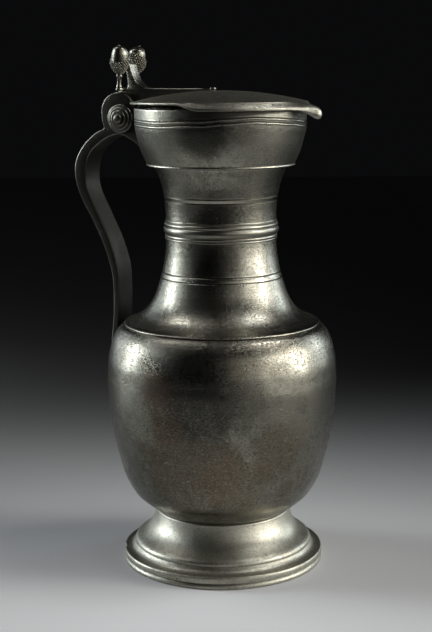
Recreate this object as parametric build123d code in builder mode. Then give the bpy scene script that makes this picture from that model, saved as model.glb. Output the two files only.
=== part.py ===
from build123d import *
from math import acos, cos, exp, radians, sin, sqrt
import os

# Pewter wine jug with a hinged, heart-shaped lid and two acorns as its thumbpiece.
# Millimetres. The origin is the centre of the foot on the table, +Z is up, the handle is
# on the -X side and the pouring lip on the +X side. The near side is -Y.

# Heights of the joints between the castings
foot_height = 31.0
belly_seam_height = 105.0
shoulder_height = 138.4
neck_seam_height = 191.0
collar_height = 226.4
rim_height = 258.7

# Outer radii
foot_radius = 57.5
foot_step_radius = 50.8
foot_top_radius = 37.2
belly_radius = 65.4
shoulder_radius = 55.0
neck_radius = 31.0
collar_foot_radius = 37.0
collar_ridge_radius = 41.6
rim_radius = 47.7

# Walls of the castings
foot_wall = 2.6
belly_wall = 2.3
neck_wall = 2.2
collar_wall = 2.2
collar_floor = 1.4

# Turned ornament
foot_band_height = 7.0
foot_bead_height = 2.8
foot_step_height = 11.4
foot_moulding_drop = 2.2
foot_moulding_proud = 0.7
line_width = 0.7
line_depth = 0.35
low_line_heights = (164.8, 167.9)
high_line_heights = (207.8, 210.3)
rim_line_drops = (4.9, 8.6)
band_height = 8.1
band_drop = 1.8
band_bulge = 1.4

# Rim wave and pouring lip
lip_start_drop = 15.7
lip_bend = 1.2
lip_reach = 2.0
lip_half_angle = 16.0
lip_drop = 1.2
rim_crest = 1.0
rim_dip = 0.6

# Hinge
pin_x = -59.6
pin_z = 252.3
pin_radius = 2.0
pin_clearance = 0.05
cheek_x = -61.5
cheek_rise = 3.75
cheek_radius = 11.1
cheek_thickness = 3.5
tongue_gap = 0.3
tongue_radius = 6.2
tongue_top_reach = 3.2
slot_gap = 0.45
boss_steps = ((8.2, 1.2), (6.5, 2.3), (4.7, 3.1), (2.6, 4.6))
boss_taper = 0.4

# Lid
lid_radius = 49.9
lid_rim_gap = 1.1
lid_edge = 1.2
dome_radius = 48.4
dome_rise = 6.0
dome_thickness = 2.2
skirt_radius = 50.7
skirt_top_rise = 0.5
skirt_slope = 2.3
skirt_edge = 1.3
skirt_thickness = 1.3
skirt_lean = 1.8
skirt_start_x = -2.0
skirt_ramp = 14.0
tip_reach = 60.7
tip_half_width = 3.0
tip_root_width = 26.0
tip_turn = 1.5
notch_x = -46.5
notch_gap = 0.7

# Bar, thumb strap and stud on the lid
bar_width = 8.6
bar_tip_width = 3.2
bar_taper_start = -46.0
bar_top_rise = 1.0
strap_top_height = 283.0
strap_thickness = 3.4
bar_edge_radius = 0.5
stud_x = -4.5
stud_radius = 1.95
stud_rise = 1.7

# Thumbpiece
saddle_gap = 0.8
saddle_thickness = 1.5
saddle_length = 4.8
saddle_overhang = 1.9
saddle_edge_radius = 0.4
acorn_x = -60.0
acorn_y = 8.3
acorn_lean_x = 2.4
acorn_lean_y = 1.7
stem_height = 7.8
knop_radius = 1.85
waist_radius = 1.3
stem_end_radius = 1.65
cup_height = 9.2
cup_radius = 5.35
nut_radius = 4.95
nut_height = 7.1
nut_seat_depth = 1.2
nut_play = 0.05

# Handle, from the pin down to the belly
handle_back_x = -91.7
handle_low = 105.8
handle_end_length = 15.2
handle_edge_radius = 0.8

# Worked out from the sizes above
foot_moulding_height = foot_height - foot_moulding_drop
lip_start_height = rim_height - lip_start_drop
collar_bend_radius = rim_radius - lip_bend
band_low = neck_seam_height - band_drop
band_high = band_low + band_height
cheek_inner = bar_width / 2 + tongue_gap
cheek_outer = cheek_inner + cheek_thickness
cheek_z = pin_z + cheek_rise
seat_height = rim_height + rim_crest + lid_rim_gap
dome_foot_height = seat_height + lid_edge
dome_top = dome_foot_height + dome_rise
dome_sphere = (dome_radius**2 + dome_rise**2) / (2 * dome_rise)
dome_centre = dome_top - dome_sphere
skirt_top = seat_height + skirt_top_rise
skirt_bend = skirt_top - skirt_slope
skirt_bottom = skirt_bend - skirt_edge
saddle_bottom = cheek_z + cheek_radius + saddle_gap
saddle_top = saddle_bottom + saddle_thickness
acorn_foot = Vector(acorn_x, -acorn_y, saddle_top)
acorn_height = stem_height + cup_height + nut_height
acorn_axis = Vector(acorn_lean_x, -acorn_lean_y, acorn_height).normalized()
belly_inside_x = 0.6 * belly_wall - belly_radius
tool_reach = 60.0


def share(start, end, part):
    """Place at a part of the way from start to end."""
    return start + part * (end - start)


def turned_wall(start, end, shares, wall, tangents):
    """Draw the closed outline of a turned wall, bottom to top, and give its outer line.

    The shares place the points between the ends, across and up.
    """
    points = [start]
    for across, up in shares:
        points.append((share(start[0], end[0], across), share(start[1], end[1], up)))
    points.append(end)
    outer = Spline(*points, tangents=tangents)
    count = len(points) + 2
    inside = []
    for step in range(count + 1):
        place = outer.position_at(step / count)
        along = outer.tangent_at(step / count)
        inside.append((place.X - wall / along.Y, place.Y))
    inner = Spline(*inside)
    Line(outer @ 0, inner @ 0)
    Line(outer @ 1, inner @ 1)
    return outer


def point_at_height(curve, height):
    """Point of a rising curve at the given height."""
    low = 0.0
    high = 1.0
    for _ in range(30):
        middle = (low + high) / 2
        if curve.position_at(middle).Y < height:
            low = middle
        else:
            high = middle
    return curve.position_at(low)


def ring_section(inner_radius, outer_radius, low, high):
    """Draw the section of a plain ring in the current sketch."""
    with Locations(((inner_radius + outer_radius) / 2, (low + high) / 2)):
        Rectangle(outer_radius - inner_radius, high - low)


def line_sections(curve, height):
    """Draw the section of one fine turned line on a turned curve."""
    place = point_at_height(curve, height)
    with Locations((place.X, place.Y)):
        Rectangle(2 * line_depth, line_width)


def lip_curve(radius, reach):
    """Round outline of the mouth, pulled out by reach where the wine is poured."""
    count = 36
    points = []
    for step in range(count):
        angle = 360 * step / count
        turn = min(angle, 360 - angle)
        distance = radius + reach * exp(-((turn / lip_half_angle) ** 2))
        points.append((distance * cos(radians(angle)), distance * sin(radians(angle))))
    Spline(*points, periodic=True)


def cup_solid(start, inset):
    """Solid of the collar's cup from the start height to above the rim, smaller by the inset."""
    waist = collar_ridge_radius - 0.4
    levels = (
        (start, waist - 0.6, 0.0),
        (share(collar_height, lip_start_height, 0.28), share(waist, collar_bend_radius, 0.26), 0.0),
        (share(collar_height, lip_start_height, 0.52), share(waist, collar_bend_radius, 0.585), 0.0),
        (lip_start_height, collar_bend_radius, 0.05),
        (share(lip_start_height, rim_height, 0.5), rim_radius - 0.1, 0.4),
        (seat_height, rim_radius, 1.0),
    )
    sections = []
    for height, radius, pull in levels:
        with BuildSketch(Plane.XY.offset(height)) as section:
            with BuildLine():
                lip_curve(radius - inset, pull * lip_reach)
            make_face()
        sections.append(section.sketch)
    return Solid.make_loft([section.face().outer_wire() for section in sections])


def rim_level(x):
    """Height of the wavy rim at a place along the jug, seen from its side."""
    ahead = x / rim_radius
    crest = rim_crest * exp(-(((ahead - 0.68) / 0.3) ** 2))
    dip = rim_dip * exp(-(((ahead + 0.5) / 0.3) ** 2))
    lip = (lip_drop + crest) * exp(-(((ahead - 1.06) / 0.16) ** 2))
    return rim_height + crest - dip - lip


def rim_curve(drop):
    """Draw the rim's line as seen from the side, lowered by drop."""
    reach = rim_radius + lip_reach + 2
    count = 14
    points = []
    for step in range(count + 1):
        x = -reach + 2 * reach * step / count
        points.append((x, rim_level(x) - drop))
    return Spline(*points)


def lid_outline(inset):
    """Draw the lid's heart-shaped plan: a round back, sides that run in, and a rounded tip."""
    radius = skirt_radius - inset
    reach = tip_reach - inset
    width = tip_half_width - 0.6 * inset
    turn = acos(radius / reach) + radians(tip_turn)
    bend = (radius * cos(turn), radius * sin(turn))
    tip_x = reach - 0.8 * width
    ThreePointArc(bend, (-radius, 0), (bend[0], -bend[1]))
    Spline((bend[0], -bend[1]), (tip_x, -width), tangents=((sin(turn), cos(turn)), (1, 0.8)))
    ThreePointArc((tip_x, -width), (reach, 0), (tip_x, width))
    Spline((tip_x, width), bend, tangents=((-1, 0.8), (-sin(turn), cos(turn))))


def handle_point(out, rise):
    """Point of the handle's side view, as shares from the belly outward and up to the pin."""
    return (share(-belly_radius, handle_back_x, out), share(handle_low, pin_z, rise))


def dome_height(x):
    """Height of the lid's dome at a distance x from the jug's axis."""
    return dome_centre + sqrt(dome_sphere**2 - x**2)


def write_part(shape, name):
    shape.label = name
    export_step(shape, f"parts/{name}.step")


# Foot: stepped rim, swelling cone and a fine moulding under the belly
with BuildPart() as foot:
    with BuildSketch(Plane.XZ):
        with BuildLine():
            bead = ThreePointArc(
                (foot_radius - 0.8, 0),
                (foot_radius, foot_bead_height / 2),
                (foot_radius - 0.5, foot_bead_height),
            )
            groove = Line(bead @ 1, (foot_radius - 0.5, foot_bead_height + line_width))
            band = Line(groove @ 1, (foot_radius, foot_bead_height + 2 * line_width))
            edge = Line(band @ 1, (foot_radius, foot_band_height - 0.8))
            corner = ThreePointArc(
                edge @ 1,
                (foot_radius - 0.3, foot_band_height - 0.2),
                (foot_radius - 1.0, foot_band_height),
            )
            flange = ThreePointArc(
                corner @ 1,
                (foot_radius - 3.9, foot_band_height + 1.3),
                (foot_step_radius + 0.4, foot_step_height - 1.2),
            )
            riser = Line(flange @ 1, (foot_step_radius, foot_step_height))
            swell = ThreePointArc(
                riser @ 1,
                (foot_step_radius - 2.3, foot_step_height + 3.5),
                (foot_step_radius - 6.8, foot_step_height + 5.4),
            )
            cone_top = (foot_top_radius + 1.4, foot_moulding_height - 0.6)
            cone = Spline(
                swell @ 1,
                (share((swell @ 1).X, cone_top[0], 0.5), share((swell @ 1).Y, cone_top[1], 0.4)),
                cone_top,
                tangents=((-1, 0.4), (-0.2, 1)),
            )
            moulding = ThreePointArc(
                cone @ 1,
                (foot_top_radius + 1.2 + foot_moulding_proud, foot_moulding_height),
                (foot_top_radius + 1.0, foot_moulding_height + 0.6),
            )
            Line(moulding @ 1, (foot_top_radius, foot_height))
            top = Line((foot_top_radius, foot_height), (foot_top_radius - foot_wall, foot_height))
            hollow = Spline(
                top @ 1,
                ((cone @ 0.5).X - foot_wall, (cone @ 0.5).Y - 0.4 * foot_wall),
                ((swell @ 1).X - 0.5 * foot_wall, (swell @ 1).Y - foot_wall),
                (foot_step_radius - foot_wall, foot_step_height - 0.4 * foot_wall),
                (foot_radius - 1.5 * foot_wall, foot_band_height - 0.7 * foot_wall),
            )
            inner_edge = Line(hollow @ 1, (foot_radius - 1.5 * foot_wall, 0))
            Line(inner_edge @ 1, bead @ 0)
        make_face()
    revolve(axis=Axis.Z)

# Belly: two round halves soldered at the widest line, the lower one closed at its bottom
with BuildPart() as belly_lower:
    with BuildSketch(Plane.XZ):
        with BuildLine():
            turned_wall(
                (foot_top_radius, foot_height),
                (belly_radius, belly_seam_height),
                (
                    (0.227, 0.062),
                    (0.440, 0.162),
                    (0.628, 0.284),
                    (0.770, 0.419),
                    (0.879, 0.581),
                    (0.972, 0.797),
                ),
                belly_wall,
                ((1, 0.6), (0, 1)),
            )
        make_face()
    revolve(axis=Axis.Z)
    with BuildSketch(Plane.XY.offset(foot_height)):
        Circle(foot_top_radius - belly_wall)
    extrude(amount=belly_wall)

with BuildPart() as belly_upper:
    with BuildSketch(Plane.XZ):
        with BuildLine():
            turned_wall(
                (belly_radius, belly_seam_height),
                (shoulder_radius - 0.5, shoulder_height),
                ((0.018, 0.21), (0.073, 0.449), (0.312, 0.749), (0.661, 0.928)),
                belly_wall,
                ((0, 1), (-1, 0.55)),
            )
        make_face()
    revolve(axis=Axis.Z)

# Shoulder: raised edge over the belly, flare and the lower half of the neck
with BuildPart() as shoulder:
    with BuildSketch(Plane.XZ):
        with BuildLine():
            flare = turned_wall(
                (shoulder_radius, shoulder_height + 0.3),
                (neck_radius, band_low),
                (
                    (0.183, 0.046),
                    (0.433, 0.115),
                    (0.575, 0.184),
                    (0.679, 0.263),
                    (0.767, 0.362),
                    (0.846, 0.481),
                    (0.921, 0.620),
                    (0.979, 0.778),
                ),
                neck_wall,
                ((-1, 0.5), (0, 1)),
            )
        make_face()
    revolve(axis=Axis.Z)
    with BuildSketch(Plane.XZ):
        with BuildLine():
            lip = ThreePointArc(
                (shoulder_radius, shoulder_height),
                (shoulder_radius + 0.5, shoulder_height + 0.5),
                (shoulder_radius, shoulder_height + 1.0),
            )
            Polyline(
                lip @ 1,
                (shoulder_radius - 3.0, shoulder_height + 1.0),
                (shoulder_radius - 3.0, shoulder_height),
                lip @ 0,
            )
        make_face()
        ring_section(neck_radius - neck_wall, neck_radius, band_low, neck_seam_height)
    revolve(axis=Axis.Z)
    with BuildSketch(Plane.XZ):
        for height in low_line_heights:
            line_sections(flare, height)
    revolve(axis=Axis.Z, mode=Mode.SUBTRACT)

# Neck: upper half, flaring to the collar
with BuildPart() as neck:
    with BuildSketch(Plane.XZ):
        with BuildLine():
            funnel = turned_wall(
                (neck_radius, band_high),
                (collar_foot_radius, collar_height),
                ((0.017, 0.196), (0.133, 0.436), (0.333, 0.643), (0.65, 0.835)),
                neck_wall,
                ((0, 1), (0.5, 1)),
            )
        make_face()
        ring_section(neck_radius - neck_wall, neck_radius, neck_seam_height, band_high)
    revolve(axis=Axis.Z)
    with BuildSketch(Plane.XZ):
        for height in high_line_heights:
            line_sections(funnel, height)
    revolve(axis=Axis.Z, mode=Mode.SUBTRACT)

# Neck band: moulded ring over the joint, a full bulge with a fine roll above it
with BuildPart() as neck_band:
    with BuildSketch(Plane.XZ):
        with BuildLine():
            low = Line((neck_radius, band_low), (neck_radius + 0.5, band_low))
            bulge = ThreePointArc(
                low @ 1,
                (neck_radius + band_bulge, share(band_low, band_high, 0.3)),
                (neck_radius + 0.6, share(band_low, band_high, 0.57)),
            )
            roll = ThreePointArc(
                bulge @ 1,
                (neck_radius + 0.65 * band_bulge, share(band_low, band_high, 0.67)),
                (neck_radius + 0.45, share(band_low, band_high, 0.77)),
            )
            top = Line(roll @ 1, (neck_radius + 0.4, band_high))
            Polyline(top @ 1, (neck_radius, band_high), low @ 0)
        make_face()
    revolve(axis=Axis.Z)

# Collar: cup with a sharp lower ridge, a pulled lip, a wavy rim and two lines that follow it
with BuildPart() as collar:
    with BuildSketch(Plane.XZ):
        with BuildLine():
            under = Line(
                (collar_foot_radius, collar_height),
                (collar_ridge_radius - 0.7, collar_height + 0.5),
            )
            ridge = ThreePointArc(
                under @ 1,
                (collar_ridge_radius, collar_height + 1.2),
                (collar_ridge_radius - 0.4, collar_height + 1.9),
            )
            Polyline(
                ridge @ 1,
                (collar_ridge_radius - 0.8 * collar_wall, collar_height + 2.6),
                (collar_ridge_radius - 0.8 * collar_wall, collar_height + collar_floor),
                (collar_foot_radius - collar_wall, collar_height + collar_floor),
                (collar_foot_radius - collar_wall, collar_height),
                under @ 0,
            )
        make_face()
    revolve(axis=Axis.Z)
    add(cup_solid(collar_height + 0.7 * collar_floor, 0))
    add(cup_solid(collar_height + collar_floor, collar_wall), mode=Mode.SUBTRACT)
    with BuildSketch(Plane.XY.offset(collar_height)):
        Circle(collar_foot_radius - collar_wall)
    extrude(amount=collar_floor, mode=Mode.SUBTRACT)
    with BuildSketch(Plane.XZ):
        with BuildLine():
            rim = rim_curve(0)
            high = rim_height + tool_reach
            Polyline(rim @ 0, ((rim @ 0).X, high), ((rim @ 1).X, high), rim @ 1)
        make_face()
    extrude(amount=2 * rim_radius, both=True, mode=Mode.SUBTRACT)

for drop in rim_line_drops:
    with BuildPart() as line_cutter:
        with BuildSketch(Plane.XZ):
            with BuildLine():
                upper = rim_curve(drop - line_width / 2)
                lower = rim_curve(drop + line_width / 2)
                Line(upper @ 0, lower @ 0)
                Line(upper @ 1, lower @ 1)
            make_face()
        extrude(amount=2 * rim_radius, both=True)
        add(cup_solid(collar_height + collar_floor, line_depth), mode=Mode.SUBTRACT)
    collar.part = collar.part - line_cutter.part

# Handle: S-curved strap with the two hinge cheeks, fitted to the collar and the belly
with BuildPart() as handle:
    with BuildSketch(Plane.XZ):
        with BuildLine():
            ledge = Line((-collar_bend_radius, pin_z - 3.3), (-rim_radius - 0.5, pin_z - 3.0))
            bend = ThreePointArc(
                ledge @ 1,
                (cheek_x + cheek_radius + 0.6, pin_z - 2.1),
                (cheek_x + cheek_radius, pin_z - 0.4),
            )
            front = Line(bend @ 1, (cheek_x + cheek_radius, cheek_z))
            head = ThreePointArc(
                front @ 1,
                (cheek_x, cheek_z + cheek_radius),
                (cheek_x - cheek_radius, cheek_z),
            )
            back = Line(head @ 1, (cheek_x - cheek_radius + 1.5, pin_z - 5.2))
            outer = Spline(
                back @ 1,
                (pin_x - 18.8, pin_z - 9.0),
                (pin_x - 24.7, pin_z - 14.3),
                handle_point(0.905, 0.859),
                handle_point(1.0, 0.793),
                handle_point(0.943, 0.730),
                handle_point(0.700, 0.640),
                handle_point(0.380, 0.541),
                handle_point(0.167, 0.445),
                handle_point(0.061, 0.350),
                handle_point(0.065, 0.234),
                handle_point(0.137, 0.117),
                handle_point(0.160, 0.053),
            )
            end = ThreePointArc(outer @ 1, handle_point(0.137, 0.023), handle_point(0.038, 0.005))
            heel = Line(end @ 1, (belly_inside_x, handle_low))
            seat = Line(heel @ 1, (belly_inside_x + 0.7, handle_low + handle_end_length))
            inner = Spline(
                handle_point(-0.042, 0.127),
                handle_point(-0.042, 0.192),
                handle_point(-0.076, 0.288),
                handle_point(-0.038, 0.411),
                handle_point(0.152, 0.530),
                handle_point(0.449, 0.636),
                handle_point(0.677, 0.724),
                handle_point(0.719, 0.789),
                handle_point(0.639, 0.844),
                (pin_x - 18.0, pin_z - 16.9),
                (pin_x - 11.0, pin_z - 12.1),
                (pin_x - 0.5, pin_z - 9.3),
                (-collar_ridge_radius - 11.0, pin_z - 11.9),
                (-collar_ridge_radius - 6.6, collar_height + 10.4),
                (-collar_ridge_radius - 3.4, collar_height + 5.6),
            )
            Line(seat @ 1, inner @ 0)
            Polyline(
                inner @ 1,
                (-collar_ridge_radius - 0.6, collar_height + 5.6),
                (-collar_ridge_radius - 3.0, collar_height + 13.6),
                ledge @ 0,
            )
        make_face()
    extrude(amount=cheek_outer, both=True)
    sides = handle.faces().sort_by(Axis.Y)
    long_edges = (sides[0].edges() + sides[-1].edges()).filter_by(GeomType.BSPLINE)
    fillet(long_edges, handle_edge_radius)
    slot_floor = pin_z - tongue_radius - 1.5 * slot_gap
    slot_right = pin_x + tongue_radius + slot_gap
    with BuildSketch(Plane.XZ):
        with BuildLine():
            Polyline(
                (slot_right, slot_floor),
                (pin_x - tool_reach / 2, slot_floor),
                (pin_x - tool_reach / 2, pin_z + tool_reach),
                (pin_x + tool_reach / 2, pin_z + tool_reach),
                (pin_x + tool_reach / 2, pin_z),
                (slot_right, pin_z),
                close=True,
            )
        make_face()
    extrude(amount=cheek_inner, both=True, mode=Mode.SUBTRACT)
    with BuildSketch(Plane.XZ):
        with Locations((pin_x, pin_z)):
            Circle(pin_radius)
    extrude(amount=cheek_outer, both=True, mode=Mode.SUBTRACT)
    add(collar.part, mode=Mode.SUBTRACT)
    add(belly_upper.part, mode=Mode.SUBTRACT)

# Hinge pin and the stepped bosses that close its ends
with BuildPart() as hinge_pin:
    with BuildSketch(Plane.XZ):
        with Locations((pin_x, pin_z)):
            Circle(pin_radius)
    extrude(amount=cheek_outer, both=True)

with BuildPart() as pin_boss_near:
    boss_foot = (pin_x, -cheek_outer, pin_z)
    with BuildSketch(Plane(origin=boss_foot, x_dir=(1, 0, 0), z_dir=(0, 0, -1))):
        with BuildLine():
            corners = [(0, 0)]
            low = 0.0
            for radius, height in boss_steps:
                corners.append((radius, low))
                corners.append((radius - boss_taper, height))
                low = height
            corners.append((0, low))
            Polyline(*corners, close=True)
        make_face()
    revolve(axis=Axis(boss_foot, (0, -1, 0)))

with BuildPart() as pin_boss_far:
    mirror(pin_boss_near.part, about=Plane.XZ)

# Lid: low dome, skirt round its front half and a hooked tip over the lip
with BuildPart() as dome:
    with Locations((0, 0, dome_centre)):
        Sphere(dome_sphere)
    split(bisect_by=Plane.XY.offset(dome_foot_height))

with BuildPart() as dome_hollow:
    with Locations((0, 0, dome_centre)):
        Sphere(dome_sphere - dome_thickness)
    split(bisect_by=Plane.XY.offset(seat_height))

with BuildPart() as skirt:
    with BuildSketch(Plane.XY.offset(skirt_bottom)):
        with BuildLine():
            lid_outline(0)
        make_face()
    extrude(amount=skirt_edge)
    with BuildSketch(Plane.XY.offset(skirt_bend)) as wide:
        with BuildLine():
            lid_outline(0)
        make_face()
    with BuildSketch(Plane.XY.offset(skirt_top)) as narrow:
        with BuildLine():
            lid_outline(skirt_radius - dome_radius)
        make_face()
    loft([wide.sketch, narrow.sketch], ruled=True)
    with BuildSketch(Plane.XY.offset(skirt_bottom)) as mouth:
        with BuildLine():
            lid_outline(skirt_thickness)
        make_face()
    with BuildSketch(Plane.XY.offset(seat_height)) as ceiling:
        with BuildLine():
            lid_outline(skirt_thickness + skirt_lean)
        make_face()
    loft([mouth.sketch, ceiling.sketch], ruled=True, mode=Mode.SUBTRACT)

with BuildPart() as tip:
    hook = seat_height
    with BuildSketch(Plane.XZ):
        with BuildLine():
            upper = Spline(
                (tip_reach - 18.7, dome_height(tip_reach - 18.7)),
                (tip_reach - 14.7, dome_height(tip_reach - 14.7)),
                (tip_reach - 10.4, hook + 0.9),
                (tip_reach - 6.2, hook - 0.4),
                (tip_reach - 2.4, hook - 1.8),
                (tip_reach - 0.5, hook - 3.3),
                (tip_reach, hook - 5.6),
                (tip_reach - 0.6, hook - 7.6),
            )
            nose = ThreePointArc(
                upper @ 1,
                (tip_reach - 1.5, hook - 8.3),
                (tip_reach - 2.6, hook - 8.0),
            )
            lower = Spline(
                nose @ 1,
                (tip_reach - 4.8, hook - 6.1),
                (tip_reach - 6.9, hook - 4.3),
                (tip_reach - 10.2, hook - 2.6),
                (tip_reach - 13.4, hook),
            )
            Polyline(lower @ 1, (tip_reach - 18.7, hook), upper @ 0)
        make_face()
    extrude(amount=tip_root_width / 2, both=True)
    with BuildSketch(Plane.XY.offset(seat_height - tool_reach / 2)):
        with BuildLine():
            lid_outline(0)
        make_face()
    extrude(amount=tool_reach, mode=Mode.INTERSECT)

with BuildPart() as lid:
    with BuildSketch(Plane.XY.offset(seat_height)):
        Circle(lid_radius)
        with Locations((lid_radius + skirt_start_x, 0)):
            Rectangle(2 * lid_radius, 3 * lid_radius, mode=Mode.SUBTRACT)
    extrude(amount=lid_edge)
    with BuildSketch(Plane.XY.offset(seat_height)):
        Circle(dome_radius)
    extrude(amount=lid_edge)
    add(dome.part)
    add(dome_hollow.part, mode=Mode.SUBTRACT)
    add(skirt.part)
    add(tip.part)
    with BuildSketch(Plane.XZ):
        with BuildLine():
            level = Line((-tool_reach, seat_height), (skirt_start_x, seat_height))
            ramp = Spline(
                level @ 1,
                (skirt_start_x + skirt_ramp, skirt_bottom - 0.2),
                tangents=((1, 0), (1, 0)),
            )
            Polyline(
                ramp @ 1,
                ((ramp @ 1).X, pin_z - tool_reach),
                (-tool_reach, pin_z - tool_reach),
                level @ 0,
            )
        make_face()
    extrude(amount=tool_reach, both=True, mode=Mode.SUBTRACT)
    with BuildSketch(Plane.XY.offset(seat_height - tool_reach / 2)):
        with Locations((notch_x - tool_reach / 2, 0)):
            Rectangle(tool_reach, 2 * (cheek_outer + notch_gap))
    extrude(amount=tool_reach, mode=Mode.SUBTRACT)

# Saddle: cross piece on the tongue under both stems
with BuildPart() as thumb_saddle:
    with BuildSketch(Plane.XY.offset(saddle_bottom)):
        with Locations((acorn_x, 0)):
            RectangleRounded(saddle_length, 2 * (acorn_y + saddle_overhang), 0.45 * saddle_length)
    extrude(amount=saddle_thickness)
    fillet(thumb_saddle.faces().sort_by(Axis.Z)[-1].edges(), saddle_edge_radius)

# Acorns: turned stem, cup and nut of the near one, and their mirror images
acorn_place = Plane(
    origin=acorn_foot,
    x_dir=(acorn_axis.Z, 0, -acorn_axis.X),
    z_dir=Vector(acorn_axis.Z, 0, -acorn_axis.X).cross(acorn_axis),
)
turning_axis = Axis(acorn_foot, acorn_axis)
cup_base = stem_height
cup_top = stem_height + cup_height

with BuildPart() as stem_near:
    with BuildSketch(acorn_place):
        with BuildLine():
            side = Spline(
                (stem_end_radius, -saddle_thickness / 2),
                (stem_end_radius, 0.12 * stem_height),
                (waist_radius, 0.36 * stem_height),
                (waist_radius, 0.62 * stem_height),
                (knop_radius, 0.84 * stem_height),
                (stem_end_radius, stem_height),
            )
            Polyline(side @ 1, (0, stem_height), (0, (side @ 0).Y), side @ 0)
        make_face()
    revolve(axis=turning_axis)
    add(thumb_saddle.part, mode=Mode.SUBTRACT)

with BuildPart() as acorn_cup_near:
    with BuildSketch(acorn_place):
        with BuildLine():
            side = Spline(
                (stem_end_radius, cup_base),
                (0.63 * cup_radius, cup_base + 0.2 * cup_height),
                (0.9 * cup_radius, cup_base + 0.48 * cup_height),
                (cup_radius, cup_base + 0.8 * cup_height),
                (cup_radius - 0.2, cup_top),
            )
            Polyline(
                side @ 1,
                (nut_radius + nut_play, cup_top),
                (nut_radius + nut_play, cup_top - nut_seat_depth),
                (0, cup_top - nut_seat_depth),
                (0, cup_base),
                side @ 0,
            )
        make_face()
    revolve(axis=turning_axis)

with BuildPart() as acorn_nut_near:
    with BuildSketch(acorn_place):
        with BuildLine():
            base = cup_top - nut_seat_depth
            Line((0, base), (nut_radius, base))
            side = Spline(
                (nut_radius, base),
                (nut_radius, cup_top + 0.12 * nut_height),
                (0.92 * nut_radius, cup_top + 0.48 * nut_height),
                (0.62 * nut_radius, cup_top + 0.8 * nut_height),
                (0.14 * nut_radius, cup_top + 0.93 * nut_height),
            )
            Polyline(side @ 1, (0, cup_top + nut_height), (0, base))
        make_face()
    revolve(axis=turning_axis)

with BuildPart() as stem_far:
    mirror(stem_near.part, about=Plane.XZ)

with BuildPart() as acorn_cup_far:
    mirror(acorn_cup_near.part, about=Plane.XZ)

with BuildPart() as acorn_nut_far:
    mirror(acorn_nut_near.part, about=Plane.XZ)

# Lid bar: tongue on the pin, wedge along the lid and the strap up to the acorns
with BuildPart() as lid_bar:
    strap_x = acorn_x + saddle_length / 2
    bar_level = dome_top + bar_top_rise
    with BuildSketch(Plane.XZ):
        with BuildLine():
            heel = Line((pin_x - tongue_radius, pin_z), (pin_x - tongue_top_reach, saddle_bottom))
            rest = Line(heel @ 1, (strap_x, saddle_bottom))
            strap_back = Spline(
                rest @ 1,
                (strap_x + 0.9, saddle_top + 2.0),
                (strap_x + 0.3, saddle_top + 6.4),
                (strap_x - 1.5, strap_top_height),
                tangents=((0.2, 1), (-0.35, 1)),
            )
            strap_head = Line(strap_back @ 1, (strap_x - 1.5 + strap_thickness, strap_top_height))
            strap_front = Spline(
                strap_head @ 1,
                (strap_x + 0.4 + strap_thickness, saddle_top + 6.6),
                (strap_x + 3.6 + strap_thickness, saddle_top + 2.3),
                (strap_x + 8.4 + strap_thickness, bar_level + 0.6),
                (bar_taper_start + 6.0, bar_level + 0.3),
                tangents=((0.3, -1), (1, -0.02)),
            )
            crest = Line(strap_front @ 1, (stud_x - stud_radius + 0.3, bar_level))
            inside = Polyline(
                crest @ 1,
                ((crest @ 1).X, dome_foot_height),
                (notch_x, dome_foot_height),
                (notch_x, seat_height),
            )
            throat = Spline(
                inside @ 1,
                (-rim_radius - 1.2, seat_height - 1.7),
                (pin_x + tongue_radius, pin_z),
                tangents=((-1, -0.3), (0, -1)),
            )
            ThreePointArc(throat @ 1, (pin_x, pin_z - tongue_radius), heel @ 0)
        make_face()
    extrude(amount=bar_width / 2, both=True)
    long_edges = lid_bar.edges().filter_by(Plane.XZ)
    strap_edges = long_edges.filter_by(lambda edge: edge.center().Z > bar_level)
    fillet(strap_edges, bar_edge_radius)
    with BuildSketch(Plane.XY.offset(pin_z)) as sides:
        with BuildLine():
            Polyline(
                (bar_taper_start, bar_width / 2),
                (stud_x, bar_tip_width / 2),
                (stud_x, bar_width),
                (bar_taper_start, bar_width),
                close=True,
            )
        make_face()
        mirror(sides.sketch, about=Plane.XZ)
    extrude(amount=tool_reach, mode=Mode.SUBTRACT)
    with BuildSketch(Plane.XZ):
        with Locations((pin_x, pin_z)):
            Circle(pin_radius + pin_clearance)
    extrude(amount=bar_width, both=True, mode=Mode.SUBTRACT)
    add(dome.part, mode=Mode.SUBTRACT)
    for acorn_piece in (acorn_cup_near, acorn_cup_far, stem_near, stem_far):
        add(acorn_piece.part, mode=Mode.SUBTRACT)

# Stud at the wedge's front end
with BuildPart() as lid_stud:
    with BuildSketch(Plane.XY.offset(dome_foot_height)):
        with Locations((stud_x, 0)):
            Circle(stud_radius)
    extrude(amount=dome_rise + stud_rise)
    fillet(lid_stud.faces().sort_by(Axis.Z)[-1].edges(), 0.6)
    add(dome.part, mode=Mode.SUBTRACT)
    add(lid_bar.part, mode=Mode.SUBTRACT)

os.makedirs("parts", exist_ok=True)
write_part(foot.part, "foot")
write_part(belly_lower.part, "belly_lower")
write_part(belly_upper.part, "belly_upper")
write_part(shoulder.part, "shoulder")
write_part(neck.part, "neck")
write_part(neck_band.part, "neck_band")
write_part(collar.part, "collar")
write_part(handle.part, "handle")
write_part(hinge_pin.part, "hinge_pin")
write_part(pin_boss_near.part, "pin_boss_near")
write_part(pin_boss_far.part, "pin_boss_far")
write_part(lid.part, "lid")
write_part(lid_bar.part, "lid_bar")
write_part(lid_stud.part, "lid_stud")
write_part(thumb_saddle.part, "thumb_saddle")
write_part(stem_near.part, "stem_near")
write_part(stem_far.part, "stem_far")
write_part(acorn_cup_near.part, "acorn_cup_near")
write_part(acorn_cup_far.part, "acorn_cup_far")
write_part(acorn_nut_near.part, "acorn_nut_near")
write_part(acorn_nut_far.part, "acorn_nut_far")
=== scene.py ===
import itertools
import math

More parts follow.
